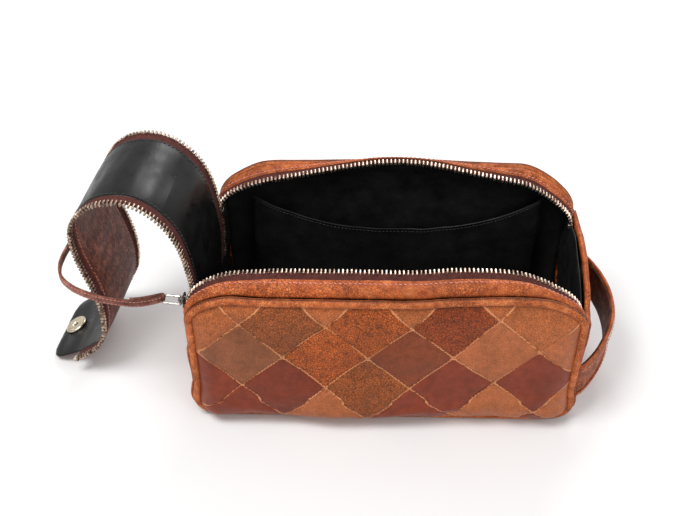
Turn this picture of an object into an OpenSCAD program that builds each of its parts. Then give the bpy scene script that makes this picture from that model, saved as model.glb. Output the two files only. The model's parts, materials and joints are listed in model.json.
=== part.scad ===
// Zip-top wash bag in patchwork leather, standing open.
// The lid is a long flap joined to the left end; it is zipped along both long sides and is
// drawn here unzipped, curled over to the left with its tab resting on the ground.
// Millimetres, Z up, X along the bag, Y from front to back. The origin is the middle of the base.

/* [Bag body] */
// Half length of the front panel at shoulder height
front_half = 124; // [110:1:140]
// How far the front panel sits towards the left
front_shift = 2.5; // [0:0.5:6]
// Half length of the back panel at shoulder height
back_half = 120.5; // [105:0.5:135]
// How far the back panel sits towards the right
back_shift = 5.5; // [0:0.5:10]
// How much shorter each half is at the base
base_taper = 2; // [0:1:8]
// Height of the front piping
front_top = 105; // [98:1:112]
// Height of the back piping
back_top = 122; // [114:1:130]
// Height where the front's upper corners start
front_shoulder = 86; // [80:1:90]
// Height where the back's upper corners start
back_shoulder = 96; // [90:1:100]
// Distance from the middle plane to the piping
half_depth = 58; // [52:1:65]
// How far the upper corners reach in from the ends
top_corner = 40; // [30:1:50]
// Radius of the lower corners
base_corner = 22; // [14:1:30]
// How far the soft panels bulge out
panel_bulge = 6; // [0:1:12]
// Thickness of the leather
leather_t = 1.6; // [1.2:0.1:2.4]
// Thickness of the nylon lining
lining_t = 0.6; // [0.4:0.1:1]
// Radius of the piping
piping_r = 2.6; // [2:0.1:3.5]

/* [Zips] */
// Half distance between the two zips on the bag
zip_half = 40.3; // [38:0.1:44]
// Gap between the bag's teeth and the flap's when it lies closed but unzipped
zip_gap = 1.2; // [0.8:0.1:2]
// How far the back zip bows backwards in the middle
zip_bow = 8; // [0:1:10]
// How far the back zip rises in the middle
zip_rise = 11; // [0:1:14]
// Height where the closed part of the left end's zips stops
chain_foot = 58; // [45:1:70]
// Width of one row of teeth
teeth_w = 2.7; // [2:0.1:4]
// Thickness of the teeth
teeth_t = 2.2; // [1.6:0.1:3]
// Width of tape that shows beside the teeth
tape_w = 3.5; // [3:0.5:5]

/* [Flap] */
// Half width of the flap's leather
flap_half = 31; // [26:0.5:32]
// Turn of the open flap about the vertical
flap_yaw = 8.8; // [6:0.1:10]
// Height of the flap's root
flap_root_z = 90.5; // [89:0.5:92]
// Gap between neighbouring lengths of the flap
flap_gap = 3.2; // [3:0.2:5]

/* [Fittings] */
// Diameter of the magnetic snap
snap_d = 16; // [14:1:20]
// Width of the side handle
handle_w = 26; // [20:1:32]
// How far the side handle stands off the end
handle_reach = 25; // [18:1:32]

/* [Hidden] */
// Lengths of the flap from its root to its tab, and the lean of each from upright to the left
flap_len = [45, 35, 29, 31, 33, 44, 35, 26, 24];
flap_lean = [10, 40, 88, 132, 178, 198, 178, 138, 117];
flap_last = len(flap_len) - 1;
flap_root = [-121.7, 0, flap_root_z];
root_lean = 2;

// Route of the thong from the front puller, round the curled flap, to the back puller
thong_route = [
    [-146, -37, 84], [-153, -40, 84], [-162, -43, 85], [-172, -44, 87], [-182, -44, 89],
    [-192, -43, 92], [-202, -39, 94], [-210, -31, 95], [-213, -20, 96], [-212, -6, 96],
    [-209, 10, 96], [-207, 28, 96], [-202, 46, 96], [-194, 58, 96], [-182, 63, 97],
    [-168, 61, 97], [-155, 57, 96], [-144, 50, 95], [-134, 44, 94]];
thong_w = 5;
thong_t = 2;

arc_n = 6;      // steps in each rounded corner
seam = 0.4;     // clearance between sewn pieces
fine = 32;      // facets of small round parts
panel_mid = 57; // height of the middle of the panels

// The seams and zip lines, each as
// [middle x, half top, half base, bottom, top, upper corner's reach, shoulder, lower radius]
function outline(mid, half, low, high, reach, shoulder) =
    [mid, half, half - base_taper, low, high, reach, shoulder, base_corner];
front_seam = outline(-front_shift, front_half, piping_r + 0.6, front_top, top_corner, front_shoulder);
back_seam = outline(back_shift, back_half, piping_r + 0.6, back_top, top_corner, back_shoulder);
front_zip_line = outline(-front_shift - 1, front_half + 0.5, 0, front_top + 11, top_corner + 22, front_shoulder);
back_zip_line = outline(back_shift - 1, back_half - 0.5, 0, back_top - 3, top_corner + 6,
    back_shoulder);
front_y = -half_depth;
back_y = half_depth;

function grown(o, g) = [o[0], o[1] + g, o[2] + g, o[3] - g, o[4] + g, o[5] + g, o[6], o[7] + g];
function arc(cx, cz, rx, rz, a0, a1) = [for (i = [0 : arc_n])
    let (a = a0 + (a1 - a0) * i / arc_n) [cx + rx * cos(a), cz + rz * sin(a)]];
// Distance from the middle of the outline to its straight side at height z
function side_at(o, z) = let (za = o[3] + o[7]) o[2] + (o[1] - o[2]) * (z - za) / (o[6] - za);
function left_up(o) = arc(o[0] - o[1] + o[5], o[6], o[5], o[4] - o[6], 180, 90);
function right_down(o) = arc(o[0] + o[1] - o[5], o[6], o[5], o[4] - o[6], 90, 0);
function right_base(o) = arc(o[0] + o[2] - o[7], o[3] + o[7], o[7], o[7], 0, -90);
function left_base(o) = arc(o[0] - o[2] + o[7], o[3] + o[7], o[7], o[7], -90, -180);
top_steps = 6;
function top_run(o) =
    let (a = o[0] - o[1] + o[5], b = o[0] + o[1] - o[5])
    [for (i = [1 : top_steps - 1]) [a + (b - a) * i / top_steps, o[4]]];
function whole(o) = concat(left_up(o), top_run(o), right_down(o), right_base(o), left_base(o));
// The upper run starts low on the left end, where the closed zip stops
function upper(o) =
    concat([[o[0] - side_at(o, chain_foot), chain_foot]], left_up(o), top_run(o), right_down(o));
function lower(o) = concat(
    [[o[0] + o[1], o[6] - seam]], right_base(o), left_base(o),
    [[o[0] - side_at(o, chain_foot - seam), chain_foot - seam]]);
// Places an outline in space at depth y, bowed back and raised in the middle of its length
function at_y(pts, y, o = [0, 100], bow = 0, rise = 0) =
    [for (p = pts) let (w = pow(max(0, 1 - pow((p[0] - o[0]) / o[1], 2)), 3))
        [p[0], y + bow * w, p[1] + rise * w]];

// Solid through equal rings of points, closed at both ends or joined into a loop
module loft(rings, loop = false) {
    n = len(rings[0]);
    m = len(rings);
    steps = loop ? m : m - 1;
    sides = [for (i = [0 : steps - 1]) for (j = [0 : n - 1])
        let (k = (i + 1) % m, l = (j + 1) % n)
        each [[i * n + j, i * n + l, k * n + l], [i * n + j, k * n + l, k * n + j]]];
    ends = loop ? [] : [[for (j = [n - 1 : -1 : 0]) j], [for (j = [0 : n - 1]) (m - 1) * n + j]];
    polyhedron(points = [for (r = rings) each r], faces = concat(sides, ends));
}
// Strip whose four edges are the lists a, b, c and d
module strip(a, b, c, d) {
    loft([for (i = [0 : len(a) - 1]) [a[i], b[i], c[i], d[i]]]);
}

// ---- panels, gusset and lining
// Panel that bulges towards side (-1 front, 1 back), from depth y
module panel(o, y, side, bulge, t) {
    function face(s, inset) = [for (p = whole(grown(o, -inset)))
        [o[0] + (p[0] - o[0]) * s, y + side * (bulge * (1 - s * s)),
            panel_mid + (p[1] - panel_mid) * s]];
    function pushed(r, d) = [for (p = r) p + [0, side * d, 0]];
    scales = [0.2, 0.5, 0.8, 1];
    out = [for (s = scales) pushed(face(s, piping_r + seam), t)];
    inn = [for (i = [3 : -1 : 0]) face(scales[i], piping_r + seam)];
    rings = concat(out, inn);
    loft(side > 0 ? [for (r = rings) [for (i = [len(r) - 1 : -1 : 0]) r[i]]] : rings);
}
module front_panel() {
    color("peru") panel(front_seam, front_y, -1, panel_bulge, leather_t);
}
module back_panel() {
    color("peru") panel(back_seam, back_y, 1, panel_bulge, leather_t);
}
module front_lining() {
    color("black") panel(front_seam, front_y + 1.4, -1, panel_bulge, lining_t);
}
module back_lining() {
    color("black") panel(back_seam, back_y - 1.4, 1, panel_bulge, lining_t);
}

// Strip round the base and ends between the two seams, from inner to outer growth
module around(inner, outer) {
    y0 = front_y + piping_r + seam;
    y1 = back_y - piping_r - seam;
    strip(at_y(lower(grown(front_seam, outer)), y0), at_y(lower(grown(back_seam, outer)), y1),
        at_y(lower(grown(back_seam, inner)), y1), at_y(lower(grown(front_seam, inner)), y0));
}
rest_grow = piping_r + 0.6;
// Outside of the right end at height z, from the front seam (u = 0) to the back seam (u = 1)
function right_wall(z, u) = (1 - u) * (side_at(grown(front_seam, rest_grow), z) - front_shift)
    + u * (side_at(grown(back_seam, rest_grow), z) + back_shift);
module gusset() {
    color("saddlebrown") around(rest_grow - leather_t, rest_grow);
}
module gusset_lining() {
    color("black") around(rest_grow - leather_t - lining_t - 0.2, rest_grow - leather_t - 0.2);
}

// ---- piping: a leather strip folded round a cord, open towards the seam
module piping(o, y, side) {
    pts = whole(o);
    n = len(pts);
    cut = 40;
    steps = 7;
    function away(i) = let (p = pts[(i + 1) % n] - pts[(i + n - 1) % n]) [-p[1], p[0]] / norm(p);
    function edge(i, r, a) =
        [pts[i][0] + away(i)[0] * r * cos(a), y + side * r * sin(a), pts[i][1] + away(i)[1] * r * cos(a)];
    function section(i) = concat(
        [for (k = [0 : steps]) edge(i, piping_r, -180 + cut + (360 - 2 * cut) * k / steps)],
        [for (k = [steps : -1 : 0]) edge(i, piping_r - 1, -180 + cut + (360 - 2 * cut) * k / steps)]);
    loft([for (i = [0 : n - 1]) side > 0 ? [for (k = [2 * steps + 1 : -1 : 0]) section(i)[k]] : section(i)],
        loop = true);
}
module piping_cord(o, y) {
    pts = whole(o);
    n = len(pts);
    r = piping_r - 1.2;
    function away(i) = let (p = pts[(i + 1) % n] - pts[(i + n - 1) % n]) [-p[1], p[0]] / norm(p);
    loft([for (i = [0 : n - 1]) [for (k = [0 : 7]) let (a = -k * 45)
        [pts[i][0] + away(i)[0] * r * cos(a), y + r * sin(a), pts[i][1] + away(i)[1] * r * cos(a)]]],
        loop = true);
}
module front_piping() {
    color("chocolate") piping(front_seam, front_y, -1);
}
module back_piping() {
    color("chocolate") piping(back_seam, back_y, 1);
}
module front_piping_cord() {
    color("beige") piping_cord(front_seam, front_y);
}
module back_piping_cord() {
    color("beige") piping_cord(back_seam, back_y);
}

// ---- zip bands, tapes and teeth that stay on the bag
band_y = zip_half + teeth_w + tape_w;
tape_t = 0.8;
// Strip of thickness t between two edges, each [outline, growth, depth, bow, rise]
module rim(a, b, t) {
    function edge(e, g) = at_y(upper(grown(e[0], e[1] - g)), e[2], e[0], e[3], e[4]);
    strip(edge(a, 0), edge(b, 0), edge(b, t), edge(a, t));
}
// Edge of the back zip, drawn on the front side and then mirrored
function back_edge(growth, depth) = [back_zip_line, growth, depth, -zip_bow, zip_rise];
module front_zip_band() {
    color("chocolate")
    rim([front_seam, 2.6, front_y + piping_r + seam, 0, 0], [front_zip_line, 0.8, -band_y, 0, 0],
        leather_t);
}
module back_zip_band() {
    color("chocolate")
    mirror([0, 1, 0])
    rim([back_seam, 2.6, -back_y + piping_r + seam, 0, 0], back_edge(0.8, -band_y), leather_t);
}
module front_zip_tape() {
    color("#3a1f22")
    rim([front_zip_line, 0.4, -band_y + 0.2, 0, 0],
        [front_zip_line, 0.4, -zip_half - teeth_w - 0.05, 0, 0], tape_t);
}
module back_zip_tape() {
    color("#3a1f22")
    mirror([0, 1, 0])
    rim(back_edge(0.4, -band_y + 0.2), back_edge(0.4, -zip_half - teeth_w - 0.05), tape_t);
}
module front_zip_teeth() {
    color("darkgoldenrod")
    rim([front_zip_line, 1.1, -zip_half - teeth_w, 0, 0], [front_zip_line, 1.1, -zip_half, 0, 0],
        teeth_t);
}
module back_zip_teeth() {
    color("darkgoldenrod")
    mirror([0, 1, 0])
    rim(back_edge(1.1, -zip_half - teeth_w), back_edge(1.1, -zip_half), teeth_t);
}
// Small metal stops that end the zips on the bag, just under the last teeth
stop_h = 4;
module stop_at(o, y) {
    z = o[6] - stop_h / 2 - seam;
    translate([o[0] + side_at(o, z), y, z]) cube([3, 4, stop_h], center = true);
}
module zip_stops() {
    color("darkgoldenrod") {
        stop_at(front_zip_line, -zip_half - 2);
        stop_at(back_zip_line, zip_half + 2);
    }
}

// ---- slip pocket on the back wall
pocket_low = 16;
pocket_end = 98;
pocket_sag = 20;
pocket_half = 100;
module slip_pocket() {
    steps = 12;
    wall = back_y - 3.4;
    function station(i) = let (u = -1 + 2 * i / steps, s = 1 - pow(u, 4),
            x = back_shift + pocket_half * u, y = wall - 11 * s,
            z = pocket_end - pocket_sag * (1 - u * u))
        [[x, y, pocket_low], [x, y, z], [x, y + lining_t, z], [x, y + lining_t, pocket_low]];
    color("black") loft([for (i = [steps : -1 : 0]) station(i)]);
}

// ---- side handle, a strap from seam to seam across the right end
handle_t = 2.4;
handle_low = 34;
handle_rise = 10;
module side_handle() {
    steps = 14;
    y_end = half_depth - piping_r - seam;
    function centre(i) = let (u = i / steps, z = handle_low + handle_rise * u)
        [right_wall(z, u) + seam + handle_t / 2 + handle_reach * pow(sin(180 * u), 0.8),
            -y_end + 2 * y_end * u, z];
    function station(i) = let (c = centre(i),
            d = centre(min(i + 1, steps)) - centre(max(i - 1, 0)),
            s = [d[1], -d[0], 0] / norm([d[0], d[1], 0]) * handle_t / 2, w = [0, 0, handle_w / 2])
        [c + s - w, c + s + w, c - s + w, c - s - w];
    color("peru") loft([for (i = [steps : -1 : 0]) station(i)]);
}

// ---- magnetic snap: the stud half on the right end, the socket half on the flap's tab
stud_z = 79;
stud_y = -2;
stud_post = 5;
plate_t = 1.2;
wall_x = right_wall(stud_z, 0.5);
end_turn = atan((right_wall(stud_z, 1) - right_wall(stud_z, 0)) / (2 * half_depth));
module on_wall(x) {
    translate([x, stud_y, stud_z]) rotate([0, 0, -end_turn]) rotate([0, 90, 0]) children();
}
module snap_stud() {
    color("silver")
    on_wall(wall_x + 0.6) {
        cylinder(d = snap_d, h = plate_t, $fn = fine);
        cylinder(d = stud_post, h = plate_t + 1, $fn = fine);
    }
}
module snap_stud_back() {
    color("silver")
    on_wall(wall_x - leather_t - lining_t - 1.6) cylinder(d = snap_d - 2, h = 0.8, $fn = fine);
}

// ---- flap
function unit(v) = v / norm(v);
function lean_dir(k) = [-sin(flap_lean[k]) * cos(flap_yaw), sin(flap_lean[k]) * sin(flap_yaw),
    cos(flap_lean[k])];
function flap_at(k) = k == 0 ? flap_root : flap_at(k - 1) + flap_len[k - 1] * lean_dir(k - 1);
// Puts what is drawn along +X, with the leather side up, on length k of the flap
module on_flap(k) {
    translate(flap_at(k)) rotate([0, 0, -flap_yaw]) rotate([0, -90 - flap_lean[k], 0]) children();
}
module slab(k, low, high, half) {
    on_flap(k)
    translate([flap_gap / 2, -half, low])
    cube([flap_len[k] - flap_gap, 2 * half, high - low]);
}
module flap_leather(k) {
    color("chocolate") slab(k, 0.1, 0.1 + leather_t, k == flap_last ? flap_half - 1 : flap_half);
}
module flap_lining(k) {
    color("black") slab(k, -0.1 - lining_t, -0.1, k == flap_last ? flap_half - 1 : flap_half);
}
// Tape and teeth along both edges of one length of the flap, with room for the far slider
flap_teeth_y = zip_half - zip_gap - teeth_w;
far_room = 12.5;
module zip_edges(length, far_start = 0) {
    for (s = [-1, 1]) {
        start = s > 0 ? far_start : 0;
        translate([start, s > 0 ? flap_half + 0.1 : -flap_teeth_y, -tape_t / 2])
        cube([length - start, flap_teeth_y - flap_half - 0.1, tape_t]);
        translate([start, s > 0 ? flap_teeth_y : -flap_teeth_y - teeth_w, -teeth_t / 2])
        cube([length - start, teeth_w, teeth_t]);
    }
}
module flap_zip(k) {
    color("darkgoldenrod")
    on_flap(k)
    translate([flap_gap / 2, 0, 0])
    zip_edges(flap_len[k] - flap_gap, k == 0 ? far_room : 0);
}

// Brass stops at the ends of the flap's two zips
module flap_zip_stops() {
    k = flap_last - 1;
    color("darkgoldenrod")
    on_flap(k)
    for (s = [-1, 1])
        translate([flap_len[k] - 0.2, s * (flap_teeth_y + 0.8), 0]) cube([2.2, 3.4, 3], center = true);
}
// Where the snap sits on the tab, from the tab's hinge
snap_along = 14;
module snap_socket() {
    color("silver")
    on_flap(flap_last)
    translate([snap_along, 0, -0.3 - lining_t])
    mirror([0, 0, 1])
    difference() {
        cylinder(d = snap_d, h = plate_t + 0.6, $fn = fine);
        translate([0, 0, 0.6]) cylinder(d = stud_post + 4, h = plate_t + 1, $fn = fine);
    }
}
module snap_socket_back() {
    color("silver")
    on_flap(flap_last)
    translate([snap_along, 0, leather_t + 0.3]) cylinder(d = snap_d - 2, h = 0.7, $fn = fine);
}
// Below its root the flap is sewn into the left end, between the closed zips
root_len = flap_root_z - chain_foot;
module on_root() {
    translate(flap_root) rotate([0, 0, -flap_yaw]) rotate([0, -90 - root_lean, 0])
    translate([-root_len, 0, 0]) children();
}
module root_slab(low, high) {
    on_root() translate([0, -flap_half, low]) cube([root_len - flap_gap / 2, 2 * flap_half, high - low]);
}
module flap_root_leather() {
    color("chocolate") root_slab(0.1, 0.1 + leather_t);
}
module flap_root_lining() {
    color("black") root_slab(-0.1 - lining_t, -0.1);
}
module flap_root_zip() {
    color("darkgoldenrod") on_root() zip_edges(root_len - flap_gap / 2);
}

// ---- sliders and pullers
near_slider = [-128, -zip_half + zip_gap / 2, 84.5];
far_slider = [-115.5, zip_half - zip_gap / 2, 94.5];
slider_l = 9;
slider_w = 8;
puller_l = 12;
puller_wire = 0.8;
wedge = 0.4;
plate = 1.2;
slot = teeth_t / 2 + 1.4;   // half the space between a slider's plates
pin_x = slot + plate + 1.2; // the puller's pin, from the middle of the chain
function slider_yaw() = -atan((far_slider[0] - near_slider[0]) / (far_slider[1] - near_slider[1]));
function slider_roll() = asin((far_slider[2] - near_slider[2]) / norm(far_slider - near_slider));
// Puts what is drawn with X outwards and Y along the puller's pin on a slider
module on_slider(place) {
    translate(place) rotate([0, 0, slider_yaw()]) rotate([slider_roll(), 0, 0])
    rotate([0, -root_lean, 0]) rotate([0, 0, 180])
    children();
}
// Two plates round the chain, the bridge that holds the puller, and the wedge, which stands straight
// in the gap between the two rows of teeth
module slider(place) {
    wedge_l = 3;
    color("dimgray") {
        on_slider(place) {
            for (x = [slot, -slot - plate])
                translate([x, -slider_w / 2, -slider_l / 2]) cube([plate, slider_w, slider_l]);
            translate([slot + plate - 0.01, -1, -slider_l / 2]) cube([3.6, 2, 1.5]);
            translate([slot + plate - 0.01, -1, slider_l / 2 - 1.5]) cube([3.6, 2, 1.5]);
            translate([slot + plate + 2.4, -1, -slider_l / 2]) cube([1.2, 2, slider_l]);
        }
        translate(place + [0, 0, slider_l / 2 - wedge_l / 2])
        cube([2 * slot + plate, wedge, wedge_l], center = true);
    }
}
// Wire loop that hangs in the slider's bridge
module puller(place) {
    half = 3.2;
    color("silver")
    on_slider(place)
    translate([pin_x, 0, 0]) {
        rotate([90, 0, 0]) cylinder(r = puller_wire, h = 2 * half, center = true, $fn = 16);
        for (s = [-1, 1])
            translate([0, s * half, 0]) {
                rotate([0, 90, 0]) cylinder(r = puller_wire, h = puller_l, $fn = 16);
                sphere(r = puller_wire, $fn = 16);
                translate([puller_l, 0, 0]) sphere(r = puller_wire, $fn = 16);
            }
        translate([puller_l, 0, 0])
        rotate([90, 0, 0]) cylinder(r = puller_wire, h = 2 * half, center = true, $fn = 16);
    }
}
module front_slider() {
    slider(near_slider);
}
module back_slider() {
    slider(far_slider);
}
module front_puller() {
    puller(near_slider);
}
module back_puller() {
    puller(far_slider);
}

// ---- leather thong that joins the two pullers
module pull_strap() {
    n = len(thong_route);
    function along(i) = unit(thong_route[min(i + 1, n - 1)] - thong_route[max(i - 1, 0)]);
    function ring(i) = let (t = along(i), s = unit(cross(t, [0, 0, 1])), w = cross(s, t))
        [for (k = [0 : 7]) let (a = 22.5 + 45 * k)
            thong_route[i] + s * thong_t / 2 * cos(a) + w * thong_w / 2 * sin(a)];
    color("sienna") loft([for (i = [n - 1 : -1 : 0]) ring(i)]);
}

front_panel();
back_panel();
front_lining();
back_lining();
gusset();
gusset_lining();
front_piping();
back_piping();
front_piping_cord();
back_piping_cord();
front_zip_band();
back_zip_band();
front_zip_tape();
back_zip_tape();
front_zip_teeth();
back_zip_teeth();
zip_stops();
slip_pocket();
side_handle();
snap_stud();
snap_stud_back();
flap_root_leather();
flap_root_lining();
flap_root_zip();
front_slider();
back_slider();
front_puller();
back_puller();
pull_strap();
flap_leather(0);  // flap_leather_1
flap_leather(1);  // flap_leather_2
flap_leather(2);  // flap_leather_3
flap_leather(3);  // flap_leather_4
flap_leather(4);  // flap_leather_5
flap_leather(5);  // flap_leather_6
flap_leather(6);  // flap_leather_7
flap_leather(7);  // flap_leather_8
flap_leather(8);  // flap_leather_9
flap_lining(0);  // flap_lining_1
flap_lining(1);  // flap_lining_2
flap_lining(2);  // flap_lining_3
flap_lining(3);  // flap_lining_4
flap_lining(4);  // flap_lining_5
flap_lining(5);  // flap_lining_6
flap_lining(6);  // flap_lining_7
flap_lining(7);  // flap_lining_8
flap_lining(8);  // flap_lining_9
flap_zip(0);  // flap_zip_1
flap_zip(1);  // flap_zip_2
flap_zip(2);  // flap_zip_3
flap_zip(3);  // flap_zip_4
flap_zip(4);  // flap_zip_5
flap_zip(5);  // flap_zip_6
flap_zip(6);  // flap_zip_7
flap_zip(7);  // flap_zip_8
flap_zip_stops();
snap_socket();
snap_socket_back();
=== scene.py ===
"""Looks of an open zip-top wash bag in patchwork leather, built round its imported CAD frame.

Points are worked out in millimetres in the row frame and become metres in mesh_object().
"""

import json
import math

import bmesh
import bpy
import numpy as np
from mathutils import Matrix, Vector, noise


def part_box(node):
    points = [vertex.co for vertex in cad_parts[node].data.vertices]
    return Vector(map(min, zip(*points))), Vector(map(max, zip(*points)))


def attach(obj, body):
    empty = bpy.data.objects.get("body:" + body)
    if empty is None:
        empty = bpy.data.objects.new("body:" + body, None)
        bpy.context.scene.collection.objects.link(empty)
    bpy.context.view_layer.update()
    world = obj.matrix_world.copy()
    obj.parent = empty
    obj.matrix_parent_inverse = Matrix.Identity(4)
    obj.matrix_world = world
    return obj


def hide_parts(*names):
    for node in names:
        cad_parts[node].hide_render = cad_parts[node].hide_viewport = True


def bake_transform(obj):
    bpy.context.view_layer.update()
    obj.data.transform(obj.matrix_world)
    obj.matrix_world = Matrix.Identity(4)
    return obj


MM = 0.001
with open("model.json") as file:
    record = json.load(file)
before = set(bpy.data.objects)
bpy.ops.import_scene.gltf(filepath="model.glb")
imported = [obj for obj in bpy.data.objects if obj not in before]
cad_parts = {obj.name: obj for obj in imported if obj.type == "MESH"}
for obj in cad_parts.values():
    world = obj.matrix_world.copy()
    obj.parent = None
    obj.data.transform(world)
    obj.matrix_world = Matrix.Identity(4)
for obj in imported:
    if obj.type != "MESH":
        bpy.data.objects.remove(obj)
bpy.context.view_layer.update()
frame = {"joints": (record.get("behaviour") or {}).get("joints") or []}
JOINTS = {j["name"]: j for j in frame["joints"]}
bpy.context.scene.view_settings.view_transform = "Standard"

# ---------------------------------------------------------------- sizes, in millimetres


def box_mm(node):
    low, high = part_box(node)
    return np.array(low) / MM, np.array(high) / MM


PIPING_R = 2.6
PANEL_INSET = 1.4  # from the seam in to the edge of a panel
TEETH_HALF_T = 1.1
BASE_Z = 3.2  # height of the seams under the bag
BASE_TAPER = 2
BASE_CORNER = 22
CHAIN_FOOT = 58
FRONT_SHOULDER = 86
BACK_SHOULDER = 96
SEAM_REACH = 40
FRONT_ZIP_REACH = 62
BACK_ZIP_REACH = 46
ZIP_HALF = 40.3
TEETH_W = 2.7
BAND_Y = 46.5
BAND_SHARE = 0.81  # how much of the strip from seam to zip the leather covers
STITCH_SHARE = 0.84  # how far across the band its stitching runs
ZIP_BOW = 8
ZIP_RISE = 11
TOOTH_PITCH = 2.7
FLAP_HALF = 31
FLAP_TEETH_Y = 36.4
FLAP_YAW = math.radians(8.8)
ROOT_LEAN = math.radians(2)
LEATHER_T = 1.4
LINING_T = 0.5
TAB_LEAN = math.radians(117)
TAB_LEN = 24
CURVE_HOLD = 0.7  # how near the flap's curve comes to each corner
PIN_REACH = 4.9  # from the middle of the chain out to the puller's pin
PLATE_X = 3.15  # from the middle of the chain to the middle of a slider's plate

# ---------------------------------------------------------------- small tools


def step(v, a, b):
    """0 up to a and 1 from b on, smooth between; a may be the larger."""
    t = np.clip((np.asarray(v, float) - a) / (b - a), 0, 1)
    return t * t * (3 - 2 * t)


def bell(v, middle, width):
    return np.exp(-(((np.asarray(v, float) - middle) / width) ** 2))


def unit(v):
    return v / np.maximum(np.linalg.norm(v, axis=-1, keepdims=True), 1e-9)


def wobble(points, size, seed=0):
    """Smooth noise from about -1 to 1 at each point, with features size mm across."""
    shift = Vector((seed * 17.3, seed * 5.1, seed * 9.7))
    flat = np.asarray(points, float).reshape(-1, 3) / size
    return np.array([noise.noise(Vector(p) + shift) for p in flat]).reshape(points.shape[:-1])


def lengths(points):
    """Length along a line of points, from 0."""
    return np.concatenate([[0], np.cumsum(np.linalg.norm(np.diff(points, axis=0), axis=1))])


def along(at, s, points):
    """Values of points at lengths at, where s is the length of each point along its line."""
    return np.stack([np.interp(at, s, points[:, i]) for i in range(points.shape[1])], -1)


def resampled(points, spacing=None, count=None):
    """The line of points again, at even spacing."""
    s = lengths(points)
    count = count or max(2, int(round(s[-1] / spacing)) + 1)
    return along(np.linspace(0, s[-1], count), s, points)


def directions(points, loop=False):
    """Unit tangent at each point of a line."""
    if loop:
        return unit(np.roll(points, -1, 0) - np.roll(points, 1, 0))
    return unit(np.gradient(points, axis=0))


def circle(sides):
    """Evenly spaced angles round a circle."""
    return np.linspace(0, 2 * math.pi, sides, endpoint=False)


def normals(grid):
    return unit(np.cross(np.gradient(grid, axis=0), np.gradient(grid, axis=1)))


def mesh_object(name, points, faces, uvs=None):
    """A smooth-shaded object from points in mm."""
    mesh = bpy.data.meshes.new(name)
    mesh.from_pydata((np.asarray(points, float) * MM).tolist(), [], faces)
    if uvs is not None:
        layer = mesh.uv_layers.new(name="UVMap")
        layer.data.foreach_set("uv", np.asarray(uvs, np.float32).ravel())
    mesh.polygons.foreach_set("use_smooth", [True] * len(mesh.polygons))
    mesh.update()
    obj = bpy.data.objects.new(name, mesh)
    bpy.context.scene.collection.objects.link(obj)
    return obj


def grid_object(name, grid, around=False, flip=False, caps=False):
    """A sheet from rows and columns of points; around joins each row's end to its start.

    The UVs are lengths in metres along the rows and the columns."""
    rows, cols = grid.shape[:2]
    wide = cols if around else cols - 1
    r, c = np.meshgrid(np.arange(rows - 1), np.arange(wide), indexing="ij")
    r, c = r.ravel(), c.ravel()
    n = (c + 1) % cols
    faces = np.stack([r * cols + c, r * cols + n, (r + 1) * cols + n, (r + 1) * cols + c], 1)
    u = lengths(grid.mean(1)) * MM
    closed = np.concatenate([grid, grid[:, :1]], 1) if around else grid
    v = lengths(closed[rows // 2]) * MM
    uvs = np.stack([[u[r], v[c]], [u[r], v[c + 1]], [u[r + 1], v[c + 1]], [u[r + 1], v[c]]], 1)
    uvs = uvs.transpose(2, 1, 0)
    if flip:
        faces, uvs = faces[:, ::-1], uvs[:, ::-1]
    faces, uvs = faces.tolist(), uvs.reshape(-1, 2).tolist()
    if caps:
        start, end = list(range(cols)), [(rows - 1) * cols + i for i in range(cols)]
        for loop in (start[::-1], end) if not flip else (start, end[::-1]):
            faces.append(loop)
            uvs += [[0, 0]] * cols
    return mesh_object(name, grid.reshape(-1, 3), faces, uvs)


def tube(name, line, radius, sides=12, loop=False, squash=1.0, up=(0, 0, 1)):
    """A tube along a line; squash makes it flat across up."""
    t = directions(line, loop)
    side = unit(np.cross(t, np.asarray(up, float)))
    top = np.cross(side, t)
    a = circle(sides)
    radius = np.broadcast_to(np.asarray(radius, float).reshape(-1, 1, 1), (len(line), 1, 1))
    ring = np.cos(a)[None, :, None] * side[:, None] * squash + np.sin(a)[None, :, None] * top[:, None]
    grid = line[:, None] + ring * radius
    if loop:
        grid = np.concatenate([grid, grid[:1]], 0)
    return grid_object(name, grid, around=True, flip=True, caps=not loop)


def copies(name, template, places):
    """One object with the template (points, faces) at each place (origin and three axes)."""
    points, faces = template
    places = [np.asarray(p, float) for p in places]
    made = np.concatenate([p[0] + points @ p[1:] for p in places])
    n = len(points)
    all_faces = [[v + i * n for v in f] for i in range(len(places)) for f in faces]
    return mesh_object(name, made, all_faces)


def bevelled_box(size, bevel, segments=1, taper=1.0):
    """Points and faces of a box with rounded edges, in mm; its +Y end is tapered."""
    bm = bmesh.new()
    bmesh.ops.create_cube(bm, size=1)
    for v in bm.verts:
        shrink = taper if v.co.y > 0 else 1
        v.co = Vector((v.co.x * size[0] * shrink, v.co.y * size[1], v.co.z * size[2] * shrink))
    bmesh.ops.bevel(bm, geom=bm.edges[:], offset=bevel, segments=segments, affect="EDGES", profile=0.6)
    bm.verts.ensure_lookup_table()
    points = np.array([v.co[:] for v in bm.verts])
    faces = [[v.index for v in f.verts] for f in bm.faces]
    bm.free()
    return points, faces


def thick(obj, thickness, offset=-1.0):
    """Gives a sheet its thickness in mm, on the side away from its normals."""
    m = obj.modifiers.new("thickness", "SOLIDIFY")
    m.thickness, m.offset, m.use_even_offset = thickness * MM, offset, False
    return obj


def mark(obj, name, values):
    """Stores a number at each point of a mesh, for its material to read."""
    layer = obj.data.attributes.new(name, "FLOAT", "POINT")
    layer.data.foreach_set("value", np.asarray(values, np.float32).ravel())


def place(obj, body, material, replaces=()):
    """Finishes a piece that moves with one body."""
    dress(obj, material, replaces)
    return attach(obj, body)


def dress(obj, material, replaces=()):
    obj.data.materials.clear()
    obj.data.materials.append(material)
    if replaces:
        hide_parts(*replaces)
    return obj


# ---------------------------------------------------------------- materials


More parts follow.
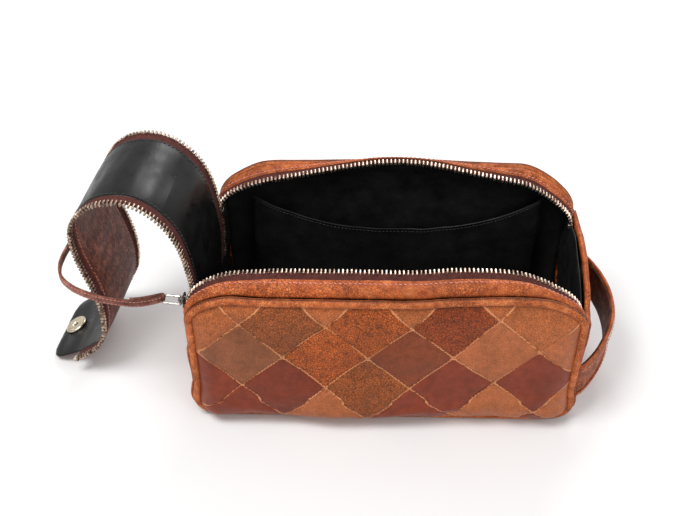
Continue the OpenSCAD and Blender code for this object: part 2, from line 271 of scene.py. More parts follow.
def srgb(r, g, b):
    """Linear colour from 0-255 display values."""
    return tuple(((c / 255 + 0.055) / 1.055) ** 2.4 if c > 10 else c / 255 / 12.92 for c in (r, g, b)) + (1,)


class Finish:
    """A procedural material under construction."""

    def __init__(self, name, **sockets):
        self.material = bpy.data.materials.new(name)
        self.material.use_nodes = True
        self.tree = self.material.node_tree
        self.shader = self.tree.nodes["Principled BSDF"]
        for key, value in sockets.items():
            self.shader.inputs[key.replace("_", " ")].default_value = value
        self.where = self.node("ShaderNodeTexCoord").outputs["Object"]

    def node(self, kind, inputs=None, **settings):
        made = self.tree.nodes.new(kind)
        for key, value in settings.items():
            setattr(made, key, value)
        for key, value in (inputs or {}).items():
            self.feed(made.inputs[key], value)
        return made

    def feed(self, socket, value):
        """Links another node's output to a socket, or sets a plain value on it."""
        if isinstance(value, bpy.types.NodeSocket):
            self.tree.links.new(value, socket)
        else:
            socket.default_value = value

    def noise(self, size_mm, detail=3.0, roughness=0.55, distortion=0.0):
        n = self.node("ShaderNodeTexNoise", {
            "Vector": self.where, "Scale": 1 / (size_mm * MM), "Detail": detail,
            "Roughness": roughness, "Distortion": distortion})
        return n.outputs["Fac"]

    def cells(self, size_mm, where):
        """Distance from the edges of irregular cells."""
        n = self.node("ShaderNodeTexVoronoi", {"Vector": where, "Scale": 1 / (size_mm * MM)},
                      feature="DISTANCE_TO_EDGE")
        return n.outputs["Distance"]

    def ramp(self, value, stops):
        """Colour or grey through (position, colour) stops."""
        n = self.node("ShaderNodeValToRGB", {"Fac": value})
        ends = n.color_ramp.elements
        while len(ends) < len(stops):
            ends.new(0.5)
        for e, (at, colour) in zip(ends, stops):
            e.position = at
            e.color = colour if isinstance(colour, tuple) else (colour, colour, colour, 1)
        return n.outputs["Color"]

    def mix(self, how, factor, a, b):
        n = self.node("ShaderNodeMix", data_type="RGBA", blend_type=how)
        for socket, value in zip((n.inputs[0], n.inputs[6], n.inputs[7]), (factor, a, b)):
            self.feed(socket, value)
        return n.outputs[2]

    def maths(self, operation, a, b=0.0):
        n = self.node("ShaderNodeMath", operation=operation)
        for socket, value in zip(n.inputs, (a, b)):
            self.feed(socket, value)
        return n.outputs[0]

    def attribute(self, name):
        return self.node("ShaderNodeAttribute", attribute_name=name).outputs["Fac"]

    def uv_wave(self, size_mm, along=0):
        """0 to 1 wave along one UV direction, size mm from crest to crest."""
        uv = self.node("ShaderNodeSeparateXYZ", {"Vector": self.node("ShaderNodeTexCoord").outputs["UV"]})
        turned = self.maths("MULTIPLY", uv.outputs[along], 2 * math.pi / (size_mm * MM))
        return self.maths("MULTIPLY_ADD", self.maths("SINE", turned), 0.5)

    def bump(self, height, distance_mm, strength=1.0, under=None):
        inputs = {"Height": height, "Distance": distance_mm * MM, "Strength": strength}
        if under is not None:
            inputs["Normal"] = under
        return self.node("ShaderNodeBump", inputs).outputs["Normal"]

    def set(self, **links):
        for key, value in links.items():
            self.tree.links.new(value, self.shader.inputs[key.replace("_", " ")])
        return self.material


def leather(name, dark, base, light, grain_mm=1.5, rough=(0.40, 0.58), creases=0.0, patchwork=False):
    """Pebbled leather: mottled colour, darker pits between the pebbles, paler worn lines and painted shade
    in marked crevices.
    """
    f = Finish(name, Specular_IOR_Level=0.26)
    shift = f.node("ShaderNodeTexNoise", {"Vector": f.where, "Scale": 260.0, "Detail": 2.0})
    warp = f.node("ShaderNodeMixRGB", {"Fac": 0.0011, "Color1": f.where, "Color2": shift.outputs["Color"]})
    warped = warp.outputs[0]
    edges = f.cells(grain_mm, warped)
    fine = f.noise(0.9, 3)
    patchy, broad = f.noise(5, 4), f.noise(30, 3, distortion=0.6)
    if patchwork:
        tone = f.node("ShaderNodeAttribute", attribute_name="tone")
        mottle = f.ramp(patchy, [(0.3, 0.82), (0.5, 1.0), (0.7, 1.16)])
        colour = f.mix("MULTIPLY", 1.0, tone.outputs["Color"], mottle)
        graininess = tone.outputs["Alpha"]
    else:
        colour = f.ramp(patchy, [(0.28, dark), (0.5, base), (0.72, light)])
        graininess = f.ramp(f.noise(22, 2), [(0.35, 0.45), (0.6, 0.95)])
    colour = f.mix("MULTIPLY", 0.8, colour, f.ramp(broad, [(0.35, 0.80), (0.5, 1.0), (0.66, 1.15)]))
    pits = f.ramp(f.maths("ADD", edges, f.maths("MULTIPLY", f.maths("SUBTRACT", fine, 0.5), 0.5)),
                  [(0.0, 0.30), (0.12, 0.79), (0.32, 1.30)])
    colour = f.mix("MULTIPLY", graininess, colour, pits)
    height = f.maths("ADD", f.maths("MULTIPLY", edges, 0.9), f.maths("MULTIPLY", fine, 0.25))
    if creases:
        stretched = f.node("ShaderNodeMapping", {"Vector": warped, "Scale": (1, 2.4, 1)})
        lines = f.cells(9, stretched.outputs[0])
        worn = f.ramp(lines, [(0.0, creases), (0.045, 0.0)])
        colour = f.mix("MIX", worn, colour, light)
        height = f.maths("SUBTRACT", height, f.maths("MULTIPLY", worn, 0.5))
    if patchwork:
        seam = f.maths("DIVIDE", f.attribute("seam"), 4.0)
        worn = f.ramp(seam, [(0.02, 0.85), (0.11, 0.7), (0.2, 0.0)])
        colour = f.mix("MIX", worn, colour, srgb(226, 154, 104))
        colour = f.mix("MULTIPLY", 1.0, colour, f.ramp(seam, [(0.0, 0.5), (0.035, 1.0)]))
    # Painted shade: darkens the colour where the mesh is marked as lying in a crevice between parts
    colour = f.mix("MULTIPLY", 1.0, colour, f.ramp(f.attribute("crevice_shade"), [(0.0, 1.0), (1.0, 0.14)]))
    dullness = f.maths("ADD", f.maths("MULTIPLY", graininess, 0.6), f.maths("MULTIPLY", f.noise(16, 3), 0.4))
    gloss = f.ramp(dullness, [(0.2, rough[0]), (0.75, rough[1])])
    normal = f.bump(height, 0.4, 0.7)
    normal = f.bump(f.noise(11, 3, distortion=0.8), 1.0, 0.3, under=normal)
    return f.set(Base_Color=colour, Roughness=gloss, Normal=normal)


def nylon(name, base=0.0085, rough=0.42, crinkle_mm=0.7):
    """Black lining cloth: fine plain weave with a soft sheen and crinkles."""
    f = Finish(name, Specular_IOR_Level=0.28)
    weave = f.maths("MULTIPLY", f.uv_wave(0.45, 0), f.uv_wave(0.45, 1))
    shade = f.noise(18, 3)
    colour = f.ramp(shade, [(0.3, base * 0.7), (0.7, base * 1.5)])
    crinkle = f.noise(6, 4, 0.6, distortion=1.2)
    normal = f.bump(weave, 0.05, 0.5)
    normal = f.bump(crinkle, crinkle_mm, 0.5, under=normal)
    gloss = f.ramp(f.noise(9, 2), [(0.3, rough - 0.08), (0.7, rough + 0.1)])
    return f.set(Base_Color=colour, Roughness=gloss, Normal=normal)


def woven_tape(name, dark, light):
    """Zip tape: herringbone ribs of dark maroon thread."""
    f = Finish(name, Roughness=0.85, Specular_IOR_Level=0.15)
    uv = f.node("ShaderNodeSeparateXYZ", {"Vector": f.node("ShaderNodeTexCoord").outputs["UV"]})
    slant = f.maths("ADD", uv.outputs[0], f.maths("ABSOLUTE", f.maths("SUBTRACT", uv.outputs[1], 0.0025)))
    ribs = f.maths("MULTIPLY_ADD", f.maths("SINE", f.maths("MULTIPLY", slant, 2 * math.pi / 0.0008)), 0.5)
    colour = f.mix("MIX", ribs, dark, light)
    colour = f.mix("MULTIPLY", 0.7, colour, f.ramp(f.noise(3, 3), [(0.3, 0.6), (0.7, 1.3)]))
    return f.set(Base_Color=colour, Normal=f.bump(ribs, 0.15, 0.8))


def metal(name, dark, bright, rough=(0.28, 0.5), size=1.6):
    """Aged plated metal: bright where it is rubbed, dark in its hollows."""
    f = Finish(name, Metallic=1.0)
    tarnish = f.noise(size, 3)
    colour = f.ramp(tarnish, [(0.35, dark), (0.62, bright)])
    gloss = f.ramp(f.noise(size * 0.6, 2), [(0.3, rough[0]), (0.7, rough[1])])
    return f.set(Base_Color=colour, Roughness=gloss, Normal=f.bump(f.noise(0.25, 2), 0.03, 0.4))


def thread(name, dark, light):
    """Twisted sewing thread."""
    f = Finish(name, Roughness=0.6, Sheen_Weight=0.25)
    colour = f.ramp(f.noise(0.8, 2), [(0.3, dark), (0.7, light)])
    return f.set(Base_Color=colour, Normal=f.bump(f.noise(0.2, 1), 0.05, 0.6))


PATCHWORK = leather("patchwork_leather", None, None, None, patchwork=True, rough=(0.30, 0.52))
TRIM = leather("trim_leather", srgb(146, 66, 26), srgb(180, 90, 42), srgb(202, 114, 60))
PIPING = leather("piping_leather", srgb(150, 72, 30), srgb(188, 98, 48), srgb(212, 124, 70), grain_mm=1.2)
FLAP = leather("flap_leather", srgb(58, 22, 12), srgb(98, 42, 26), srgb(150, 92, 70), creases=0.75,
               rough=(0.34, 0.5))
HANDLE = leather("handle_leather", srgb(104, 48, 24), srgb(150, 74, 40), srgb(182, 102, 62))
HANDLE_BACK = leather("handle_back_leather", srgb(38, 16, 11), srgb(62, 29, 20), srgb(120, 72, 54),
                      creases=0.5)
THONG = leather("thong_leather", srgb(84, 44, 35), srgb(124, 74, 60), srgb(168, 114, 96), grain_mm=1.0)
NYLON = nylon("lining_nylon")
SATIN = nylon("flap_nylon", 0.006, 0.34, crinkle_mm=0.15)
TAPE = woven_tape("zip_tape", srgb(50, 24, 22), srgb(104, 58, 52))
BRASS = metal("antique_brass", srgb(124, 98, 84), srgb(236, 216, 198), (0.3, 0.45), size=4)
# Painted shade: the same antique brass as the bag's teeth, made darker for the flap's teeth to stand in for
# the shade they lie in
SHADED_FLAP_BRASS = metal("shaded_flap_brass", srgb(70, 52, 44), srgb(206, 180, 158), (0.3, 0.45), size=3)
DARK_METAL = metal("slider_metal", srgb(60, 54, 48), srgb(168, 160, 150), (0.25, 0.45))
WIRE = metal("puller_wire", srgb(120, 116, 110), srgb(226, 222, 214), (0.16, 0.3))
SNAP = metal("snap_metal", srgb(196, 180, 150), srgb(238, 226, 200), (0.25, 0.36), size=9)
PINK = thread("pink_thread", srgb(176, 92, 78), srgb(232, 158, 140))
BLACK_THREAD = thread("black_thread", srgb(14, 14, 14), srgb(52, 50, 48))
CORD_COTTON = thread("piping_cord", srgb(190, 180, 160), srgb(226, 218, 200))

# ---------------------------------------------------------------- camera, floor and light


def make_camera():
    """From the front and 41 degrees above the horizon."""
    target, distance = Vector((-32.8, 0, 88.8)) * MM, 0.780
    azimuth, elevation = math.radians(1.4), math.radians(41)
    back = Vector((math.sin(azimuth) * math.cos(elevation), -math.cos(azimuth) * math.cos(elevation),
                   math.sin(elevation)))
    data = bpy.data.cameras.new("camera")
    data.lens, data.sensor_width = 62.6, 36
    data.clip_start, data.clip_end = 0.05, 20
    camera = bpy.data.objects.new("camera", data)
    bpy.context.scene.collection.objects.link(camera)
    camera.location = target + back * distance
    camera.rotation_mode = "QUATERNION"
    camera.rotation_quaternion = (-back).to_track_quat("-Z", "Y")
    bpy.context.scene.camera = camera


def make_light(name, at, size, energy):
    data = bpy.data.lights.new(name, "AREA")
    data.shape, data.size, data.energy = "SQUARE", size, energy
    light = bpy.data.objects.new(name, data)
    bpy.context.scene.collection.objects.link(light)
    light.location = at
    light.rotation_mode = "QUATERNION"
    light.rotation_quaternion = (Vector((0, 0, 0.06)) - Vector(at)).to_track_quat("-Z", "Y")


def make_stage():
    floor = mesh_object("floor", [[-6000, -6000, 0], [6000, -6000, 0], [6000, 6000, 0], [-6000, 6000, 0]],
                        [[0, 1, 2, 3]])
    finish = Finish("floor_paper", Roughness=0.7, Specular_IOR_Level=0.2)
    floor.data.materials.append(finish.set(Base_Color=finish.ramp(
        finish.noise(900, 1), [(0.3, 0.79), (0.7, 0.81)])))
    world = bpy.data.worlds.new("studio")
    world.use_nodes = True
    world.node_tree.nodes["Background"].inputs["Color"].default_value = (1, 1, 1, 1)
    world.node_tree.nodes["Background"].inputs["Strength"].default_value = 0.58
    bpy.context.scene.world = world
    make_light("key", (-0.55, -0.35, 1.25), 0.6, 13)
    make_light("fill", (0.9, -0.9, 0.9), 0.9, 5)
    make_light("back", (0.25, 1.0, 0.85), 0.6, 8)


make_camera()
make_stage()

# ---------------------------------------------------------------- the thong between the pullers

THONG_ROUTE = np.array([
    [-146, -37, 84], [-153, -40, 84], [-162, -43, 85], [-172, -44, 87], [-182, -44, 89],
    [-192, -43, 92], [-202, -39, 94], [-210, -31, 95], [-213, -20, 96], [-212, -6, 96],
    [-209, 10, 96], [-207, 28, 96], [-202, 46, 96], [-194, 58, 96], [-182, 63, 97],
    [-168, 61, 97], [-155, 57, 96], [-144, 50, 95], [-134, 44, 94]], float)
THONG_W = 5
THONG_T = 2.0
FOLD_LENGTHS = (22.0, 16)  # how far each end of the thong is doubled back


def spline(points, spacing):
    """A smooth line through the points."""
    ends = np.concatenate([[2 * points[0] - points[1]], points, [2 * points[-1] - points[-2]]])
    t = np.linspace(0, 1, 12, endpoint=False)[:, None]
    parts = [
        0.5 * (2 * b + (c - a) * t + (2 * a - 5 * b + 4 * c - d) * t**2 + (3 * b - a - 3 * c + d) * t**3)
        for a, b, c, d in zip(ends, ends[1:], ends[2:], ends[3:])]
    return resampled(np.concatenate(parts + [points[-1:]]), spacing)


def strap_rings(line, width, thickness, up=(0, 0, 1), dome=0.25, sides=5):
    """Rings of a flat strap with rounded edges, its width along up."""
    t = directions(line)
    side = unit(np.cross(t, np.asarray(up, float)))
    top = np.cross(side, t)
    w = np.linspace(-1, 1, sides)
    shape = [(a, 1 - dome * a * a) for a in w] + [(a, -(1 - dome * a * a)) for a in w[::-1]]
    return np.stack([line + side * thickness / 2 * b + top * width / 2 * a for a, b in shape], 1)


def strap_object(name, line, width, thickness):
    return grid_object(name, strap_rings(line, width, thickness), around=True, flip=True, caps=True)


def stitch_run(name, line, out, pitch=3.1, length=2.2, radius=0.28, skew=0.22):
    """A row of stitches along a line; out is the way the surface faces at each point."""
    s = lengths(line)
    a = circle(6)
    u = np.array([-1, -0.72, 0, 0.72, 1])
    lift, fat = np.array([-0.75, 0.28, 0.5, 0.28, -0.75]), np.array([0.7, 1, 1.12, 1, 0.7])
    points = np.concatenate([np.stack([
        np.full(6, x * length / 2), np.cos(a) * radius * g,
        np.sin(a) * radius * g + h * radius], 1) for x, h, g in zip(u, lift, fat)])
    faces = [[i * 6 + j, i * 6 + (j + 1) % 6, i * 6 + 6 + (j + 1) % 6, i * 6 + 6 + j]
             for i in range(4) for j in range(6)] + [list(range(5, -1, -1)), list(range(24, 30))]
    places = []
    for at in np.arange(pitch / 2, s[-1] - pitch / 2, pitch):
        p, n = along(at, s, line), along(at, s, out)
        ahead = along(min(at + 1, s[-1]), s, line)
        t, n = unit(ahead - p), unit(n)
        b = unit(np.cross(n, t))
        t = unit(t + b * skew)
        places.append([p, t, unit(np.cross(n, t)), n])
    return copies(name, (points, faces), places)


def make_thong():
    route = spline(THONG_ROUTE, 1.5)
    strap = strap_object("pull_thong", route, THONG_W, THONG_T)
    place(strap, "front_puller", THONG, ["pull_strap"])
    s = lengths(route)
    side = unit(np.cross(directions(route), [0, 0, 1.0]))
    for i, (low, high) in enumerate([(0.0, FOLD_LENGTHS[0]), (s[-1] - FOLD_LENGTHS[1], s[-1])]):
        near = (s >= low) & (s <= high)
        line, off = route[near], side[near]
        grow = np.sin(np.linspace(0.12, 1, near.sum()) * math.pi)[:, None]
        doubled = line + off * (2.1 + 0.7 * grow)
        fold = strap_object(f"thong_fold_{i + 1}", doubled, THONG_W * 0.96, 1.9)
        place(fold, "front_puller", THONG)
        end = line[0] if i == 0 else line[-1]
        out = unit((line[0] - line[1]) if i == 0 else (line[-1] - line[-2]))
        off_end = off[0] if i == 0 else off[-1]
        a = np.linspace(-0.5, 0.5, 13)[:, None] * math.pi
        mid = end + off_end * 1.2
        bight = mid + out * (2.0 * np.cos(a)) + off_end * (1.35 * np.sin(a))
        loop = strap_object(f"thong_bight_{i + 1}", bight, THONG_W * 0.94, 1.5)
        place(loop, "front_puller", THONG)
    for i, edge in enumerate((-1, 1)):
        inner = s < s[-1] - 1
        line = route[inner] - side[inner] * 0.9 + np.array([0, 0, edge * 1.7])
        seam = stitch_run(f"thong_stitches_{i + 1}", line, -side[inner], 2.4, 1.6, 0.18, 0)
        place(seam, "front_puller", PINK)


make_thong()

# ---------------------------------------------------------------- the bag's outlines


class Outline:
    """Rounded outline of a seam or zip line, flat at one depth, before the bag settles."""

    def __init__(self, low, high, reach, shoulder):
        self.mid, self.half = (low[0] + high[0]) / 2, (high[0] - low[0]) / 2
        self.low, self.high, self.reach, self.shoulder = BASE_Z, high[2], reach, shoulder

    def grown(self, g):
        o = Outline.__new__(Outline)
        o.__dict__.update(self.__dict__)
        o.half, o.low, o.high, o.reach = self.half + g, self.low - g, self.high + g, self.reach + g
        o.corner = BASE_CORNER + g
        return o

    corner = BASE_CORNER

    def side(self, z):
        foot = self.low + self.corner
        return self.half - BASE_TAPER * (self.shoulder - z) / (self.shoulder - foot)

    def arc(self, cx, cz, rx, rz, a0, a1, count=26):
        a = np.radians(np.linspace(a0, a1, count))
        return np.stack([cx + rx * np.cos(a), cz + rz * np.sin(a)], 1)

    def over(self, foot=None):
        """From the left end, over the top, to the right shoulder; foot is where it starts."""
        left, right = self.mid - self.half + self.reach, self.mid + self.half - self.reach
        rise = self.high - self.shoulder
        parts = [
            self.arc(left, self.shoulder, self.reach, rise, 180, 90),
            np.stack([np.linspace(left, right, 62)[1:-1], np.full(60, self.high)], 1),
            self.arc(right, self.shoulder, self.reach, rise, 90, 0)]
        if foot is not None:
            z = np.linspace(foot, self.shoulder, 14)[:-1]
            parts.insert(0, np.stack([self.mid - np.array([self.side(v) for v in z]), z], 1))
        return np.concatenate(parts)

    def under(self, right_top, left_top):
        """From the right end, under the base, up the left end."""
        base, foot = self.half - BASE_TAPER, self.low + self.corner
        right = np.linspace(right_top, foot, 22)[:-1]
        left = np.linspace(foot, left_top, 22)[1:]
        c = self.corner
        return np.concatenate([
            np.stack([self.mid + np.array([self.side(v) for v in right]), right], 1),
            self.arc(self.mid + base - c, foot, c, c, 0, -90, 18),
            np.stack([np.linspace(self.mid + base - c, self.mid - base + c, 62)[1:-1],
                      np.full(60, self.low)], 1),
            self.arc(self.mid - base + c, foot, c, c, -90, -180, 18),
            np.stack([self.mid - np.array([self.side(v) for v in left]), left], 1)])

    def whole(self, spacing):
        """The closed outline at even spacing, without its last point."""
        line = np.concatenate([self.over(), self.under(self.shoulder, self.shoulder)[1:]])
        return resampled(line, spacing)[:-1]


def outline_of(node, grow, reach, shoulder):
    low, high = box_mm(node)
    return Outline(low + grow, high - grow, reach, shoulder)


FRONT_SEAM = outline_of("front_piping", PIPING_R, SEAM_REACH, FRONT_SHOULDER)
BACK_SEAM = outline_of("back_piping", PIPING_R, SEAM_REACH, BACK_SHOULDER)
FRONT_ZIP = outline_of("front_zip_teeth", TEETH_HALF_T, FRONT_ZIP_REACH, FRONT_SHOULDER)
BACK_ZIP = outline_of("back_zip_teeth", TEETH_HALF_T, BACK_ZIP_REACH, BACK_SHOULDER)
BACK_ZIP.high -= ZIP_RISE
BACK_Y = float(sum(box_mm("back_piping"))[1] / 2)
FRONT_Y = -BACK_Y


def slump(p):
    """Where a point of the regular bag lies once the soft leather has settled."""
    p = np.array(p, float)
    x, y, z = p[..., 0], p[..., 1], p[..., 2]
    high = step(z, 62, 98)  # 0 low on the walls, 1 along the rim
    front, back = step(-y, 20, 44), step(y, 15, 44)
    seam = step(np.abs(y), 47, 57)  # 1 at the piping, 0 at the zip
    dip = step(x, -108, -80) * step(x, 45, 15)
    # The front rim dips left of the middle; to the right its seam rises and its zip sinks
    p[..., 2] += high * front * (-2.8 * dip + 1.6 * seam * step(x, 40, 70) * step(x, 118, 96)
                                 - 4.0 * (1 - seam) * step(x, 78, 110))
    # The back rim drops at the right end; its seam rises in the middle and drops at the left end
    p[..., 2] += high * back * (-9.0 * step(x, 88, 126) + 2.5 * seam * bell(x, 8, 55)
                                - 2.5 * step(x, -84, -104) * seam)
    # The lower corners spread outwards and sag
    corner = step(z, 30, 8) * step(np.abs(x), 90, 112)
    p[..., 0] += 5 * np.sign(x) * corner
    p[..., 2] -= 1.5 * corner * step(z, 2, 8)
    # The rim wanders in its middle, away from the sliders and stops
    ends = step(np.abs(x - 2), 60, 20)
    p[..., 1] += 0.8 * wobble(p, 55, 3) * ends * high
    p[..., 2] += 0.7 * wobble(p, 42, 5) * ends * high
    return p


def at_depth(line, y):
    """Puts an outline at depth y and settles it."""
    return slump(np.insert(line, 1, y, axis=1))


# ---------------------------------------------------------------- patchwork panels

PATCH = 54.2  # corner to corner of a diamond
PATCH_X = -40.3  # a corner of the diamonds on their upper row
PATCH_Z = 87.5  # height of the upper row of corners

# Colour and graininess of each kind of leather in the patchwork
TONES = {
    "t": (srgb(172, 94, 48), 0.6), "p": (srgb(146, 76, 34), 0.9), "o": (srgb(170, 82, 30), 1.0),
    "r": (srgb(142, 62, 22), 1.0), "g": (srgb(136, 78, 46), 0.35), "b": (srgb(124, 58, 28), 0.3),
    "s": (srgb(168, 94, 54), 0.4), "m": (srgb(122, 50, 28), 0.12), "x": (srgb(114, 46, 24), 0.2)}
# Leather of each diamond, by row from the top and from left to right
PATCH_ROWS = ["tttttttttt", "tttporttbt", "bmgobssbtp", "tomxpmmtbo", "psmsmssmpt", "tmsmssmtom"]


def patch_coordinates(x, z):
    """Flat diamond coordinates: a and b are whole numbers along the seams."""
    settled = z - 7 * step(x, 20, 100)
    v = np.where(settled > 60, settled - PATCH_Z, (60 - PATCH_Z) + (settled - 60) * 1.13)
    return (x - PATCH_X + v) / PATCH, (x - PATCH_X - v) / PATCH


def patch_tone(a, b):
    row = int(math.floor(b)) - int(math.floor(a)) + 1
    column = int(math.floor(a)) + int(math.floor(b))
    letters = PATCH_ROWS[min(max(row, 0), len(PATCH_ROWS) - 1)]
    colour, grain = TONES[letters[(column // 2 + 4) % len(letters)]]
    return colour[:3] + (grain,)


def panel_points(outline, spacing):
    """Rings of points from the seam in to a line along the middle of a panel."""
    edge = outline.grown(-PANEL_INSET).whole(spacing)
    mid_z = (outline.low + outline.high) / 2
    reach = outline.half - (outline.high - outline.low) * 0.42
    across = np.round(np.clip(edge[:, 0], outline.mid - reach, outline.mid + reach) / 2) * 2
    spine = np.stack([across, np.full(len(edge), mid_z)], 1)
    rings = int(0.5 * (outline.high - outline.low) / spacing)
    s = np.linspace(0, 1, rings)[:, None, None] ** 1.12
    return edge[None] * (1 - s) + spine[None] * s


def front_bulge(x, z, d):
    """How far the front panel stands forward of its seam, d mm in from the seam.

    It is fullest low down, with swellings near the middle and at the two ends."""
    low = 5.0 + 5.2 * bell(x, -26, 42) + 3.6 * bell(x, -111, 10) + 1.5 * bell(x, 103, 15)
    belly = 3.4 + 2.4 * step(z, 95, 45)
    profile = belly + (low - 1.5) * step(z, 52, 10)
    return profile * (1 - np.exp(-d / 5.5)) - 1.5 * np.exp(-d / 3)


def back_bulge(_, z, d):
    return (5.4 + 2.0 * step(z, 60, 15)) * (1 - np.exp(-d / 7.0)) - 1.5 * np.exp(-d / 3)


def make_panel(name, outline, depth, side, bulge, node, seed):
    """Sewn diamonds of leather that puff up a little between their seams."""
    rings = panel_points(outline, 1.7)
    x, z = rings[..., 0], rings[..., 1]
    bm = bmesh.new()
    rows, cols = rings.shape[:2]
    verts = [bm.verts.new((px, pz, 0)) for px, pz in rings.reshape(-1, 2)]
    for i in range(rows - 1):
        for j in range(cols):
            k = (j + 1) % cols
            bm.faces.new([verts[i * cols + j], verts[i * cols + k],
                          verts[i * cols + cols + k], verts[i * cols + cols + j]])
    bmesh.ops.remove_doubles(bm, verts=bm.verts[:], dist=0.05)
    # Into diamond coordinates, where every seam is a straight cut
    flat = np.array([v.co[:2] for v in bm.verts])
    a, b = patch_coordinates(flat[:, 0], flat[:, 1])
    lift = flat[:, 1].copy()
    for v, pa, pb, keep in zip(bm.verts, a, b, lift):
        v.co = (pa, pb, keep * 0.001)
    for axis, values in ((0, a), (1, b)):
        for cut in range(math.ceil(values.min()), math.floor(values.max()) + 1):
            point, normal = [0, 0, 0], [0, 0, 0]
            point[axis], normal[axis] = cut, 1
            bmesh.ops.bisect_plane(bm, geom=bm.verts[:] + bm.edges[:] + bm.faces[:], dist=1e-5,
                                   plane_co=point, plane_no=normal)
    bmesh.ops.triangulate(bm, faces=[f for f in bm.faces if len(f.verts) > 4])
    bm.verts.index_update()
    ab = np.array([v.co[:] for v in bm.verts])
    faces = [[v.index for v in f.verts] for f in bm.faces]
    bm.free()
    a, b = ab[:, 0], ab[:, 1]
    x, z = (a + b) * PATCH / 2 + PATCH_X, ab[:, 2] * 1000
    off_a, off_b = a - np.round(a), b - np.round(b)
    seam = np.minimum(np.abs(off_a), np.abs(off_b)) * PATCH / math.sqrt(2)
    edge = outline.grown(-PANEL_INSET).whole(1.0)
    d = np.min(np.hypot(x[:, None] - edge[None, :, 0], z[:, None] - edge[None, :, 1]), 1)
    flat3 = np.stack([x, np.full(len(x), seed * 40.0), z], 1)
    puff = 0.9 * np.clip(seam / 16, 0, 1) ** 0.7 - 0.5 * np.exp(-seam / 0.6)
    rumple = 1.1 * wobble(flat3, 38, seed) + 0.6 * wobble(flat3, 17, seed + 1)
    folds = 1 - 2 * np.abs(wobble(flat3 * np.array([1, 1, 1.8]), 26, seed + 2))
    low_rumple = 1.6 * (folds - 0.5) * step(z, 46, 16)
    inside = np.clip(d / 10, 0, 1)
    out = bulge(x, z, d) + (puff + rumple + low_rumple) * inside
    points = slump(np.stack([x, depth + side * out, z], 1))
    points[:, 2] = np.where(z < 26, 1.0 + (points[:, 2] - 1.0) * 0.9, points[:, 2])
    if side > 0:
        faces = [f[::-1] for f in faces]
    obj = mesh_object(name, points, faces, np.zeros((sum(map(len, faces)), 2)))
    mesh = obj.data
    # The second mark is painted shade, darkest along the panel's edge beside the piping
    for label, values in (("seam", seam), ("crevice_shade", np.exp(-d / 1.1))):
        mark(obj, label, values)
    tone = mesh.attributes.new("tone", "FLOAT_COLOR", "CORNER")
    colours = []
    for f in faces:
        colours += list(patch_tone(a[f].mean(), b[f].mean())) * len(f)
    tone.data.foreach_set("color", np.array(colours, np.float32))
    layer = mesh.uv_layers["UVMap"]
    corner = np.concatenate([np.asarray(f) for f in faces])
    layer.data.foreach_set("uv", (np.stack([x[corner], z[corner]], 1) * MM).astype(np.float32).ravel())
    thick(obj, LEATHER_T)
    place(obj, "bag", PATCHWORK, [node])


make_panel("front_patchwork", FRONT_SEAM, FRONT_Y, -1, front_bulge, "front_panel", 1)
make_panel("back_patchwork", BACK_SEAM, BACK_Y, 1, back_bulge, "back_panel", 2)

# ---------------------------------------------------------------- piping


def make_piping(name, outline, depth, side, nodes, seed):
    line = slump(np.insert(outline.whole(1.6), 1, depth + side * 0.5, axis=1))
    radius = (PIPING_R + 0.1) * (1 + 0.04 * wobble(line, 9, seed))
    sides = 18
    ring = tube(name, line, radius, sides=sides, loop=True, up=(0, 1, 0))
    # Painted shade on the two sides of the roll, where it meets the panel and the band
    around = np.abs(np.cos(circle(sides)))
    mark(ring, "crevice_shade", np.tile(step(around, 0.9, 1.0), len(line) + 1))
    place(ring, "bag", PIPING, nodes[:1])
    # The raw edges of the strip are sewn down behind the cord, under the band and gusset
    grid = np.stack([line + np.array([0, -side * back, 0]) for back in (1.2, 2.2, 3.2)], 1)
    grid = np.concatenate([grid, grid[:1]], 0)
    flange = thick(grid_object(name + "_flange", grid), 1.2, 0)
    place(flange, "bag", PIPING)
    core = tube(name + "_cord", line, 1.3, sides=8, loop=True, up=(0, 1, 0))
    place(core, "bag", CORD_COTTON, nodes[1:])


make_piping("front_piping_roll", FRONT_SEAM, FRONT_Y, -1, ["front_piping", "front_piping_cord"], 11)
make_piping("back_piping_roll", BACK_SEAM, BACK_Y, 1, ["back_piping", "back_piping_cord"], 12)

# ---------------------------------------------------------------- zip bands, tapes and teeth


def rim_edges(seam, zip_line, side, seam_grow, seam_y, zip_grow, zip_y):
    """The two edges of a strip from the seam to the zip; the back zip also bows and rises."""
    a = at_depth(seam.grown(seam_grow).over(CHAIN_FOOT), side * seam_y)
    x, z = zip_line.grown(zip_grow).over(CHAIN_FOOT).T
    bow = np.zeros(len(x))
    if zip_line is BACK_ZIP:
        bow = np.maximum(0, 1 - ((x - zip_line.mid) / zip_line.half) ** 2) ** 3
    return a, slump(np.stack([x, side * zip_y + ZIP_BOW * bow, z + ZIP_RISE * bow], 1))


def band_edges(seam, zip_line, side):
    """Where the band and its tape leave the piping, and where they would meet the teeth."""
    return rim_edges(seam, zip_line, side, 1.5, BACK_Y - 2.6, 0.9, BAND_Y)


